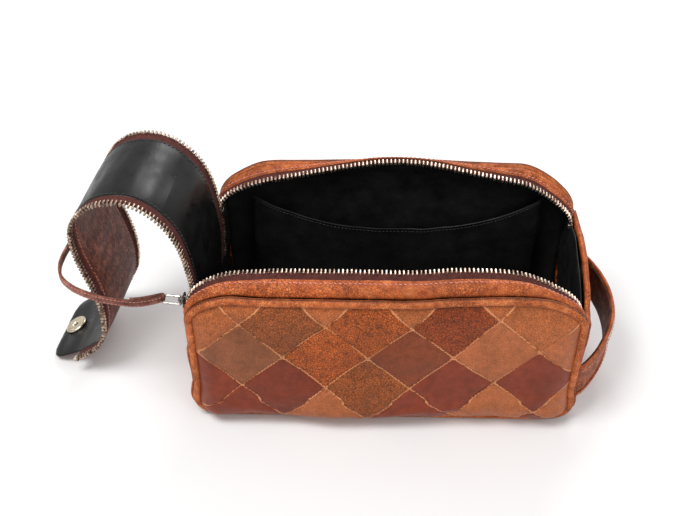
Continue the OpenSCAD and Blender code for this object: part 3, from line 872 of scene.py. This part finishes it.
def make_band(name, seam, zip_line, side, node, seed):
    """Leather band between the piping and the zip, folded under along the tape."""
    a, b = band_edges(seam, zip_line, side)
    b = a + (b - a) * BAND_SHARE
    n = unit(np.cross(directions(a) + directions(b), b - a)) * side * -1
    columns = [a - n * 2.4]
    for u in np.linspace(0, 1, 15):
        puff = 1.5 * math.sin(math.pi * u) ** 0.8 + 0.25 * math.exp(-((u - STITCH_SHARE) / 0.05) ** 2) * -1
        columns.append(a * (1 - u) + b * u + n * puff)
    over = unit(b - a)
    columns += [b + over * 0.45 - n * 0.35, b + over * 0.3 - n * 1.0, b - over * 1.6 - n * 1.25]
    grid = resample_rows(np.stack(columns, 1), 1.9)
    grain = 0.35 * wobble(grid, 14, seed) + 0.2 * wobble(grid, 6, seed + 1)
    grid += normals(grid) * -side * grain[..., None]
    band = thick(grid_object(name, grid, flip=side < 0), 0.9)
    # Painted shade, darkest in the crevice beside the piping and along the folded edge over the tape
    shade = np.zeros(grid.shape[:2])
    shade[:, :3] = (1.0, 0.9, 0.35)
    shade[:, -3:] = (0.2, 0.6, 0.9)
    mark(band, "crevice_shade", shade)
    place(band, "bag", TRIM, [node])
    u = STITCH_SHARE
    line = a * (1 - u) + b * u + n * (1.5 * math.sin(math.pi * u) ** 0.8 + 0.05)
    seam_line = resampled(line, 1.5)
    out = along(lengths(seam_line), lengths(line), n)
    place(stitch_run(name + "_stitches", seam_line, out, skew=0.3 * side), "bag", PINK)


def resample_rows(grid, spacing):
    """The same sheet with its rows at even spacing."""
    s = lengths(grid.mean(1))
    at = np.linspace(0, s[-1], max(2, int(s[-1] / spacing)))
    flat = grid.reshape(len(grid), -1)
    return along(at, s, flat).reshape(len(at), *grid.shape[1:])


def zip_edge(zip_line, side, grow, y):
    """A line along the zip, with the way that the tape faces."""
    _, line = rim_edges(FRONT_SEAM, zip_line, side, 0, 50, grow, y)
    _, above = rim_edges(FRONT_SEAM, zip_line, side, 0, 50, grow + 1, y)
    return line, unit(above - line)


def make_tape(name, seam, zip_line, side, node):
    """Woven tape from under the band's edge to the roots of the teeth."""
    a, b = band_edges(seam, zip_line, side)
    outer = a + (b - a) * (BAND_SHARE - 0.12) - np.array([0, 0, 0.9])
    inner, _ = zip_edge(zip_line, side, 0.1, ZIP_HALF + TEETH_W - 0.9)
    grid = resample_rows(np.stack([outer * (1 - u) + inner * u for u in np.linspace(0, 1, 7)], 1), 2)
    place(thick(grid_object(name, grid, flip=side < 0), 0.7, 0), "bag", TAPE, [node])


def tooth_template():
    """One cast tooth, its head towards +Y: a waisted block that clasps the tape's edge."""
    body, body_faces = bevelled_box((1.2, 3.9, 2.6), 0.28, 2, taper=0.92)
    head, head_faces = bevelled_box((1.5, 1.4, 1.9), 0.35, 2)
    head = head + np.array([0, 1.25, 0])
    n = len(body)
    return np.concatenate([body, head]), body_faces + [[v + n for v in f] for f in head_faces]


TOOTH = tooth_template()


def teeth_along(name, line, inward, up, start=0.0, skip=(0, 0)):
    """Teeth at the zip's pitch along a line; inward is the way that their heads point."""
    s = lengths(line)
    places = []
    for at in np.arange(start, s[-1], TOOTH_PITCH):
        if at < skip[0] or at > s[-1] - skip[1]:
            continue
        p, i, n = [along(at, s, q) for q in (line, inward, up)]
        i = unit(i)
        t = unit(np.cross(i, n))
        places.append([p, t, i, np.cross(t, i)])
    return copies(name, TOOTH, places)


def make_teeth(name, zip_line, side, node):
    line, up = zip_edge(zip_line, side, 0.1, ZIP_HALF + 1.75)
    dense = resampled(line, 1.0)
    up = along(lengths(dense), lengths(line), up)
    inward = np.tile([0, -side, 0], (len(dense), 1)).astype(float)
    inward -= directions(dense) * (inward * directions(dense)).sum(1, keepdims=True)
    teeth = teeth_along(name, dense, inward, up, start=0.7)
    place(teeth, "bag", BRASS, [node])


for label, seam_line_, zip_line_, way in (
        ("front", FRONT_SEAM, FRONT_ZIP, -1), ("back", BACK_SEAM, BACK_ZIP, 1)):
    make_band(f"{label}_band", seam_line_, zip_line_, way, f"{label}_zip_band", 21 + way)
    make_tape(f"{label}_tape", seam_line_, zip_line_, way, f"{label}_zip_tape")
    make_teeth(f"{label}_teeth", zip_line_, way, f"{label}_zip_teeth")

# ---------------------------------------------------------------- gusset


def gusset_grid(grow, right, left, columns, y_reach, crown):
    """Sheet under the bag and up its ends; right and left are its two ends' heights at the seams."""
    front = FRONT_SEAM.grown(grow).under(right[0], left)
    back = BACK_SEAM.grown(grow).under(right[1], left)
    u = np.linspace(0, 1, columns)
    swell = crown * (1 - (2 * u - 1) ** 4)
    grid = np.stack([
        np.insert(front * (1 - t) + back * t, 1, -y_reach + 2 * y_reach * t, axis=1) for t in u], 1)
    away = grid - np.array([2.0, 0, 60])
    away[..., 1] = 0
    away[..., 2] *= step(np.abs(away[..., 2]), 20, 60)
    grid += unit(away) * swell[None, :, None] * step(grid[..., 2:], 2, 30)
    return grid


def make_gusset():
    grid = gusset_grid(PIPING_R + 0.2, (FRONT_SHOULDER, BACK_SHOULDER), CHAIN_FOOT, 40,
                       BACK_Y - 1.6, 2.2)
    ends = step(grid[..., 2], 8, 30)
    grid[..., 0] += (0.9 * wobble(grid, 26, 31) + 0.4 * wobble(grid, 10, 32)) * ends \
        * np.sign(grid[..., 0])
    grid = slump(grid)
    grid[..., 2] = np.maximum(grid[..., 2], 0.5)
    sheet = thick(grid_object("gusset_leather", grid), LEATHER_T)
    place(sheet, "bag", TRIM, ["gusset"])
    top = grid[0]
    inner = top + np.array([-2.4, 0, 0])
    outside = [(0.35, 0, -9.0), (0.7, 0, -4.0), (0.6, 0, 0.2), (-0.4, 0, 0.9)]
    fold = np.stack([top + np.array(q) for q in outside]
                    + [inner + np.array(q) for q in ((0.6, 0, 0.4), (0, 0, -6))], 1)
    place(thick(grid_object("gusset_top_fold", fold, flip=True), 0.7, -1), "bag", TRIM)
    line = resampled(top[2:-2] + np.array([0.75, 0, -2.6]), 1.5)
    out = np.tile([1.0, 0, 0], (len(line), 1))
    place(stitch_run("gusset_stitches", line, out), "bag", PINK)


make_gusset()

# ---------------------------------------------------------------- lining and slip pocket


def crinkled(grid, amount, seed, size=20):
    """Moves a sheet in and out along its normals in soft creases."""
    folds = wobble(grid * np.array([1, 1, 0.45]), size, seed) + 0.5 * wobble(grid, size * 0.4, seed + 1)
    return grid + normals(grid) * (amount * folds)[..., None]


def make_wall_lining(name, outline, depth, side, bulge, node, seed):
    rings = panel_points(outline.grown(-1.0), 4.0)
    x, z = rings[..., 0], rings[..., 1]
    edge = outline.grown(-2.4).whole(2.0)
    d = np.min(np.hypot(x[..., None] - edge[:, 0], z[..., None] - edge[:, 1]), -1)
    y = depth + side * (0.8 * bulge(x, z, d) - 2.6)
    grid = slump(np.stack([x, y, z], -1))
    moved = crinkled(grid, 1.3, seed)
    grid = grid + (moved - grid) * np.clip(d / 12, 0, 1)[..., None]
    sheet = thick(grid_object(name, grid, around=True, flip=side < 0), LINING_T, 1)
    place(sheet, "bag", NYLON, [node])


def make_gusset_lining():
    grid = gusset_grid(PIPING_R - 3.4, (FRONT_SHOULDER + 1.5, BACK_SHOULDER + 1.5), CHAIN_FOOT + 1, 36,
                       BACK_Y - 2.2, 1.0)
    row = np.arange(len(grid))
    hung = (np.minimum(1, row / 8) * np.minimum(1, row[::-1] / 8))[:, None]
    ends = (step(np.abs(grid[..., 0]), 80, 105) * hung)[..., None]
    grid = grid * (1 - ends) + crinkled(grid, 2.4, 41, 13) * ends
    bag_right = step(grid[..., 0], 90, 118) * step(grid[..., 2], 40, 80) * hung
    grid[..., 0] -= 2.5 * bag_right * (0.5 + wobble(grid * np.array([1, 1.6, 0.5]), 14, 43))
    stud = box_mm("snap_stud_back")[0]
    over_stud = bell(grid[..., 1], stud[1] + 8, 13) * bell(grid[..., 2], stud[2] + 8, 13)
    grid[..., 0] -= 2.4 * hung * (grid[..., 0] > 90) * over_stud
    grid = slump(grid)
    grid[..., 2] = np.maximum(grid[..., 2], 2.4)
    place(thick(grid_object("end_and_base_lining", grid), LINING_T, 1), "bag", NYLON,
          ["gusset_lining"])


def make_band_lining(name, seam, zip_line, side, seed):
    """Lining under a zip band, from the seam up to the teeth."""
    a, b = rim_edges(seam, zip_line, side, -2.2, BACK_Y - 4.0, -1.6, ZIP_HALF + TEETH_W - 0.5)
    grid = resample_rows(np.stack([a * (1 - u) + b * u for u in np.linspace(0, 1, 9)], 1), 4)
    grid = crinkled(grid, 0.5, seed, 12)
    place(thick(grid_object(name, grid, flip=side > 0), LINING_T, 0), "bag", NYLON)


make_wall_lining("front_wall_lining", FRONT_SEAM, FRONT_Y, -1, front_bulge, "front_lining", 51)
make_wall_lining("back_wall_lining", BACK_SEAM, BACK_Y, 1, back_bulge, "back_lining", 52)
make_gusset_lining()
make_band_lining("front_band_lining", FRONT_SEAM, FRONT_ZIP, -1, 53)
make_band_lining("back_band_lining", BACK_SEAM, BACK_ZIP, 1, 54)


def make_pocket():
    """Slip pocket on the back wall, its slack upper edge hanging in a curve."""
    low, high = box_mm("slip_pocket")
    mid, half = (low[0] + high[0]) / 2, (high[0] - low[0]) / 2
    u = np.linspace(-1, 1, 76)
    top = high[2] - 20 * (1 - u**2)
    v = np.linspace(0, 1, 26)
    out = (1 - u**4)[:, None] * (0.55 + 0.45 * v[None] ** 1.5)
    x = mid + half * u[:, None] + np.zeros((1, 26))
    z = low[2] + (top - low[2])[:, None] * v[None]
    y = high[1] - 0.5 - 10.5 * out
    grid = np.stack([x, y, z], -1)
    pull = 1.5 * wobble(grid * np.array([0.9, 1, 0.4]), 22, 61) + 0.8 * wobble(grid, 13, 62)
    grid[..., 1] += pull * (1 - u**4)[:, None] * (0.35 + 0.65 * v[None])
    sheet = thick(grid_object("slip_pocket_cloth", grid, flip=True), LINING_T, 0)
    place(sheet, "bag", NYLON, ["slip_pocket"])
    hem_line = resampled(grid[:, -1], 2.0)
    hem = tube("slip_pocket_hem", hem_line + np.array([0, -0.1, -0.4]), 0.75, sides=10, squash=0.8)
    place(hem, "bag", SATIN)
    line = hem_line + np.array([0, -0.75, -1.9])
    out_way = np.tile([0, -1.0, 0.2], (len(line), 1))
    seam = place(stitch_run("slip_pocket_stitches", line, out_way, 2.6, 1.7, 0.16, 0), "bag", BLACK_THREAD)


make_pocket()

# ---------------------------------------------------------------- side handle


def make_handle():
    """Strap across the right end, from seam to seam, tan outside and dark inside."""
    low, high = box_mm("side_handle")
    u = np.linspace(0, 1, 60)
    wall = (FRONT_SEAM.mid + FRONT_SEAM.half + 3.2) * (1 - u) + (BACK_SEAM.mid + BACK_SEAM.half + 3.2) * u
    reach = high[0] - 2.4 - (wall[0] + wall[-1]) / 2
    x = wall - 1.0 + (reach + 1.5) * np.sin(np.pi * u) ** 0.72
    y = low[1] + (high[1] - low[1]) * u
    z = low[2] + 13 + (high[2] - low[2] - 26) * u**0.8
    line = resampled(np.stack([x, y, z], 1), 1.8)
    t = directions(line)
    t[:, 2] = 0
    side = unit(np.stack([t[:, 1], -t[:, 0], np.zeros(len(t))], 1))
    w = np.linspace(-1, 1, 11)
    lean = 0.12 * np.sin(np.linspace(0, math.pi, len(line)))[:, None]

    def layer(offset, crown):
        return np.stack([line + side * (offset + crown * (1 - a * a)) + side * lean * a * 6
                         + np.array([0, 0, a * 12.4]) for a in w], 1)

    outer = layer(0.2, 0.7)
    outer += side[:, None] * (0.4 * wobble(outer, 15, 71))[..., None]
    place(thick(grid_object("side_handle_outer", outer), 1.3, 1), "bag", HANDLE,
          ["side_handle"])
    inner = layer(-0.9, -0.5)
    inner += side[:, None] * (0.4 * wobble(inner, 12, 72))[..., None]
    place(thick(grid_object("side_handle_inner", inner, flip=True), 1.0, -1), "bag", HANDLE_BACK)
    for i, a in enumerate((-1, 1)):
        edge = line + side * (0.35 + lean * a * 6) + np.array([0, 0, a * 12.5])
        roll = tube(f"side_handle_edge_{i + 1}", edge, 1.15, sides=10, up=(0, 0, 1))
        place(roll, "bag", TRIM)
        seam = edge + side * 1.55 - np.array([0, 0, a * 2.4])
        place(stitch_run(f"side_handle_stitches_{i + 1}", seam, side, 3.1, 2.1, 0.24), "bag", PINK)


make_handle()

# ---------------------------------------------------------------- magnetic snap


def turned(name, profile, centre, axis, sides=48):
    """A turned piece from (radius, height) points along an axis."""
    axis = unit(np.asarray(axis, float))
    helper = np.array([0, 1.0, 0]) if abs(axis[1]) < 0.9 else np.array([1.0, 0, 0])
    e1 = unit(np.cross(axis, helper))
    e2 = np.cross(axis, e1)
    a = circle(sides)
    ring = np.cos(a)[:, None] * e1 + np.sin(a)[:, None] * e2
    grid = np.stack([np.asarray(centre) + ring * r + axis * h for r, h in profile], 0)
    return grid_object(name, grid, around=True, flip=False)


SOCKET_PROFILE = [(0.01, 0.2), (2.1, 0.2), (2.3, 0.9), (2.9, 1.5), (3.6, 1.5), (4.2, 1.0), (5.0, 0.95),
                  (5.8, 1.25), (7.2, 1.45), (7.8, 1.1), (8.0, 0.4), (7.9, -0.2), (0.01, -0.2)]
STUD_PROFILE = [(0.01, 2.1), (1.9, 2.1), (2.4, 1.7), (2.45, 0.9), (3.6, 0.8), (5.6, 1.1), (7.2, 1.15),
                (7.8, 0.8), (8.0, 0.1), (0.01, 0.0)]
PLATE_PROFILE = [(0.01, 0.7), (5.2, 0.7), (6.6, 0.5), (7.0, 0.0), (0.01, -0.1)]


# ---------------------------------------------------------------- flap


def hinge(k):
    return np.array(JOINTS[f"flap_fold_{k}"]["pos_m"]) / MM


WIDTH_WAY = np.array([math.sin(FLAP_YAW), math.cos(FLAP_YAW), 0])


def lean_way(lean):
    across = math.sin(lean)
    return np.array([-across * math.cos(FLAP_YAW), across * math.sin(FLAP_YAW), math.cos(lean)])


HINGES = [hinge(k) for k in range(1, 10)]
ROOT_FOOT = HINGES[0] - lean_way(ROOT_LEAN) * (HINGES[0][2] - CHAIN_FOOT) / math.cos(ROOT_LEAN)
TIP = HINGES[8] + lean_way(TAB_LEAN) * TAB_LEN

# How far (x, z) the soft flap hangs inside each corner of its straight CAD lengths
FLAP_SAG = [(0, 0), (3, 0), (3, 0), (2, -4), (3, -8), (7, -7), (8, 0), (8, 0), (7, 0), (4, 1), (0, 0)]


def flap_curve():
    """The flap's middle line, and the length along it where each piece ends."""
    stops = [p + np.array([x, 0, z]) for p, (x, z) in zip([ROOT_FOOT] + HINGES + [TIP], FLAP_SAG)]
    mids = [(a + b) / 2 for a, b in zip(stops, stops[1:])]
    parts, marks = [np.linspace(stops[0], mids[0], 12)[:-1]], []
    t = np.linspace(0, 1, 40)[:-1, None]
    for k, corner in enumerate(stops[1:-1]):
        a, b = mids[k], mids[k + 1]
        c, d = a + CURVE_HOLD * (corner - a), b + CURVE_HOLD * (corner - b)
        parts.append((1 - t) ** 3 * a + 3 * (1 - t) ** 2 * t * c + 3 * (1 - t) * t**2 * d + t**3 * b)
    parts.append(np.linspace(mids[9], stops[-1], 10))
    line = np.concatenate(parts)
    s = lengths(line)
    count = len(parts[0])
    for part in parts[1:10]:
        marks.append(s[count])
        count += len(part)
    marks = [0.0] + marks[1:] + [s[-1]]
    return line, marks


FLAP_LINE, FLAP_MARKS = flap_curve()
FLAP_S = lengths(FLAP_LINE)
FLAP_T = directions(FLAP_LINE)
FLAP_LENGTH = FLAP_S[-1]
ZIP_END = FLAP_LENGTH - TAB_LEN - 1.5  # length along the flap where its zips stop


def on_flap(s):
    """Position, direction and leather-side normal at lengths s along the flap."""
    p, t = along(s, FLAP_S, FLAP_LINE), unit(along(s, FLAP_S, FLAP_T))
    return p, t, np.cross(t, WIDTH_WAY)


def flap_sheet(s, v, lift):
    """Points of the flap at lengths s and widths v, raised by lift on the leather side."""
    p, _, n = on_flap(s)
    return p[:, None] + WIDTH_WAY * v[..., None] + n[:, None] * lift[..., None]


def flap_shell(name, s, v, top, bottom, closed_end=False):
    """A closed sleeve of the flap between two lifts, open only where the next piece carries on."""
    if closed_end:
        top[-1] = bottom[-1] = (top[-1] + bottom[-1]) / 2
    sides = [flap_sheet(s, v, top), flap_sheet(s, v[:, ::-1], bottom[:, ::-1])]
    return grid_object(name, np.concatenate(sides, 1), around=True)


def flap_half_at(s):
    """Half width: full beside the zips, a little narrower on the tab, rounded at its tip."""
    past = np.clip((s - (FLAP_LENGTH - 9)) / 9, 0, 1)
    return FLAP_HALF - 1.0 * step(s, ZIP_END - 3, ZIP_END + 3) - 9 * (1 - np.sqrt(1 - 0.999 * past**2))


def flap_waves(s, v, seed):
    """Lengthwise creases and soft waves across the flap."""
    probe = np.stack(np.broadcast_arrays(s[:, None] * 0.8, v * 0.5, np.full_like(v, seed * 7.0)), -1)
    return wobble(probe, 17, seed) + 0.6 * wobble(probe * np.array([1.4, 0.4, 1]), 8, seed + 1)


def finish_flap_piece(obj, material, replaces=()):
    """Gives a piece of the flap its material, hides the CAD parts it replaces and bakes its placing into its
    points.
    """
    dress(obj, material, replaces)
    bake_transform(obj)


def make_flap_piece(k):
    low, high = FLAP_MARKS[k - 1], FLAP_MARKS[k]
    s = np.linspace(low, high, max(4, int((high - low) / 1.8)))
    u = np.linspace(-1, 1, 37)
    half = flap_half_at(s)
    v = half[:, None] * u[None]
    inside = 1 - np.abs(u[None]) ** 5
    root = step(s, 20, 40)[:, None]
    waves = flap_waves(s, v, 81)
    leather_lift = 0.3 + (0.9 + 0.5 * waves * root) * inside
    lining_lift = -0.3 - (0.9 + 0.75 * flap_waves(s, v, 82) * root) * inside
    nodes = [f"flap_leather_{k}"] + (["flap_root_leather"] if k == 1 else [])
    outer = flap_shell(f"flap_skin_{k}", s, v, leather_lift, leather_lift * 0 + 0.05, k == 9)
    finish_flap_piece(outer, FLAP, nodes)
    nodes = [f"flap_lining_{k}"] + (["flap_root_lining"] if k == 1 else [])
    inner = flap_shell(f"flap_cloth_{k}", s, v, lining_lift, lining_lift * 0 - 0.05, k == 9)
    finish_flap_piece(inner, SATIN, nodes)
    make_flap_edges(k, low, high)


def make_flap_edges(k, low, high):
    """Tape, teeth and stitching along both sides of one piece of the flap."""
    high = min(high, ZIP_END) if k == 9 else high
    s = np.linspace(low, high, max(4, int((high - low) / 1.8)))
    for name, way in (("near", -1), ("far", 1)):
        v = way * np.linspace(FLAP_HALF - 2.5, FLAP_TEETH_Y + 0.6, 6)[None] + np.zeros((len(s), 1))
        tape = flap_shell(f"flap_tape_{name}_{k}", s, v, np.full_like(v, 0.4), np.full_like(v, -0.4), k == 9)
        finish_flap_piece(tape, TAPE)
        first = math.ceil((low - 0.7) / TOOTH_PITCH) * TOOTH_PITCH + 0.7
        at = np.arange(first, high, TOOTH_PITCH)
        p, t, n = on_flap(at)
        places = [[q + WIDTH_WAY * way * (FLAP_TEETH_Y + 0.95), tt * way, WIDTH_WAY * way, nn]
                  for q, tt, nn in zip(p, t, n)]
        nodes = ([f"flap_zip_{k}"] if k < 9 else []) + (["flap_root_zip"] if k == 1 else [])
        teeth = copies(f"flap_teeth_{name}_{k}", TOOTH, places)
        # The flap's teeth take the darker brass, with their shade painted in
        finish_flap_piece(teeth, SHADED_FLAP_BRASS, nodes if way < 0 else ())
        for label, lift, thread_, face in (("in", -0.85, BLACK_THREAD, -1), ("out", 1.0, PINK, 1)):
            p, _, n = on_flap(s)
            line = p + WIDTH_WAY * way * (FLAP_HALF - 2.2) + n * lift
            seam = stitch_run(f"flap_stitches_{name}_{label}_{k}", line, n * face, 3.0, 2.1, 0.22)
            finish_flap_piece(seam, thread_)


for piece in range(1, 10):
    make_flap_piece(piece)


def make_flap_fittings():
    """Zip stops and the snap halves."""
    stop = bevelled_box((2.4, 3.6, 3.0), 0.5, 2)
    p, t, n = on_flap(np.array([ZIP_END + 0.8]))
    places = [[p[0] + WIDTH_WAY * way * (FLAP_TEETH_Y + 0.6), t[0], WIDTH_WAY, n[0]] for way in (-1, 1)]
    place(copies("flap_end_stops", stop, places), "flap_8", BRASS, ["flap_zip_stops"])
    way = lean_way(TAB_LEAN)
    normal = np.cross(way, WIDTH_WAY)
    centre = HINGES[8] + way * 14
    place(turned("tab_snap_socket", SOCKET_PROFILE, centre - normal * 1.3, -normal), "flap_9", SNAP,
          ["snap_socket"])
    place(turned("tab_snap_plate", PLATE_PROFILE, centre + normal * 1.6, normal), "flap_9", SNAP,
          ["snap_socket_back"])
    eye = [(0.01, 0.9), (1.3, 0.9), (1.9, 0.6), (2.05, 0.1)]
    place(turned("tab_snap_eye", eye, centre - normal * 1.3, -normal), "flap_9", DARK_METAL)
    low, high = box_mm("snap_stud")
    out = np.array([1.0, -0.036, 0])
    centre = (low + high) / 2
    centre[0] = low[0] + 0.1
    place(turned("end_snap_stud", STUD_PROFILE, centre, out), "bag", SNAP, ["snap_stud"])
    low, high = box_mm("snap_stud_back")
    place(turned("end_snap_plate", PLATE_PROFILE, (low + high) / 2 + [0.4, 0, 0], -out), "bag", SNAP,
          ["snap_stud_back"])


make_flap_fittings()

# ---------------------------------------------------------------- sliders, pullers and stops


def slider_axes():
    """Outward, pin and upright directions of the sliders, from the two hinges of the pullers."""
    pin = unit(np.array(JOINTS["front_puller_swing"]["axis"], float))
    run = -unit(np.array(JOINTS["front_zip_run"]["axis"], float))
    out = unit(np.cross(run, pin))
    out = out if out[0] < 0 else -out
    return out, pin, unit(np.cross(out, pin)) * (1 if np.cross(out, pin)[2] > 0 else -1)


def make_slider(label, node, puller_node):
    pin_at = np.array(JOINTS[f"{label}_puller_swing"]["pos_m"]) / MM
    out, pin, up = slider_axes()
    chain = pin_at - out * PIN_REACH
    turn = np.stack([out, pin, up])
    plate, plate_faces = bevelled_box((1.3, 8.0, 9.4), 0.55, 3)
    plate[:, 1] *= 1 - 0.16 * step(-plate[:, 2], -1, 4.7)
    wedge, wedge_faces = bevelled_box((6.0, 0.4, 3.0), 0.15, 2)
    # The wedge is drawn in the bag's own axes, so the turn below is undone for it
    parts = [(plate + [PLATE_X, 0, 0], plate_faces), (plate - [PLATE_X, 0, 0], plate_faces),
             ((wedge + [0, 0, 3.2]) @ turn.T, wedge_faces)]
    points, faces, count = [], [], 0
    for q, f in parts:
        points.append(chain + q @ turn)
        faces += [[v + count for v in g] for g in f]
        count += len(q)
    body = mesh_object(f"{label}_slider_body", np.concatenate(points), faces)
    place(body, f"{label}_slider", DARK_METAL, [node])
    a = np.linspace(0, math.pi, 17)[:, None]
    arch = chain + out * (3.5 + 2.9 * np.sin(a) ** 0.7) + up * (3.7 * np.cos(a))
    bridge = tube(f"{label}_slider_bridge", arch, 0.85, sides=10, up=pin)
    place(bridge, f"{label}_slider", DARK_METAL)
    half, length, r = 3.2, 12.0, 1.6  # of the puller's wire loop: half width, length, corner radius
    corner = np.linspace(0, math.pi / 2, 7)[:, None]
    loop = np.concatenate([
        pin_at + out * (r - r * np.cos(corner)) * 0.5 - pin * (half - r + r * np.sin(corner)),
        pin_at + out * (length - r + r * np.sin(corner)) - pin * (half - r + r * np.cos(corner)),
        pin_at + out * (length - r + r * np.cos(corner)) + pin * (half - r + r * np.sin(corner)),
        pin_at + out * (r - r * np.sin(corner)) * 0.5 + pin * (half - r + r * np.cos(corner))])
    wire = tube(f"{label}_puller_wire", loop, 0.75, sides=10, loop=True, up=up)
    place(wire, f"{label}_puller", WIRE, [puller_node])


make_slider("front", "front_slider", "front_puller")
make_slider("back", "back_slider", "back_puller")


def make_bag_stops():
    stop = bevelled_box((3.0, 4.0, 3.8), 0.6, 2)
    places = []
    for outline, y in ((FRONT_ZIP, -ZIP_HALF - 1.6), (BACK_ZIP, ZIP_HALF + 1.6)):
        z = outline.shoulder - 2.4
        centre = slump(np.array([outline.mid + outline.side(z), y, z]))
        places.append([centre, [1, 0, 0], [0, 1, 0], [0, 0, 1]])
    place(copies("bag_end_stops", stop, places), "bag", BRASS, ["zip_stops"])


make_bag_stops()
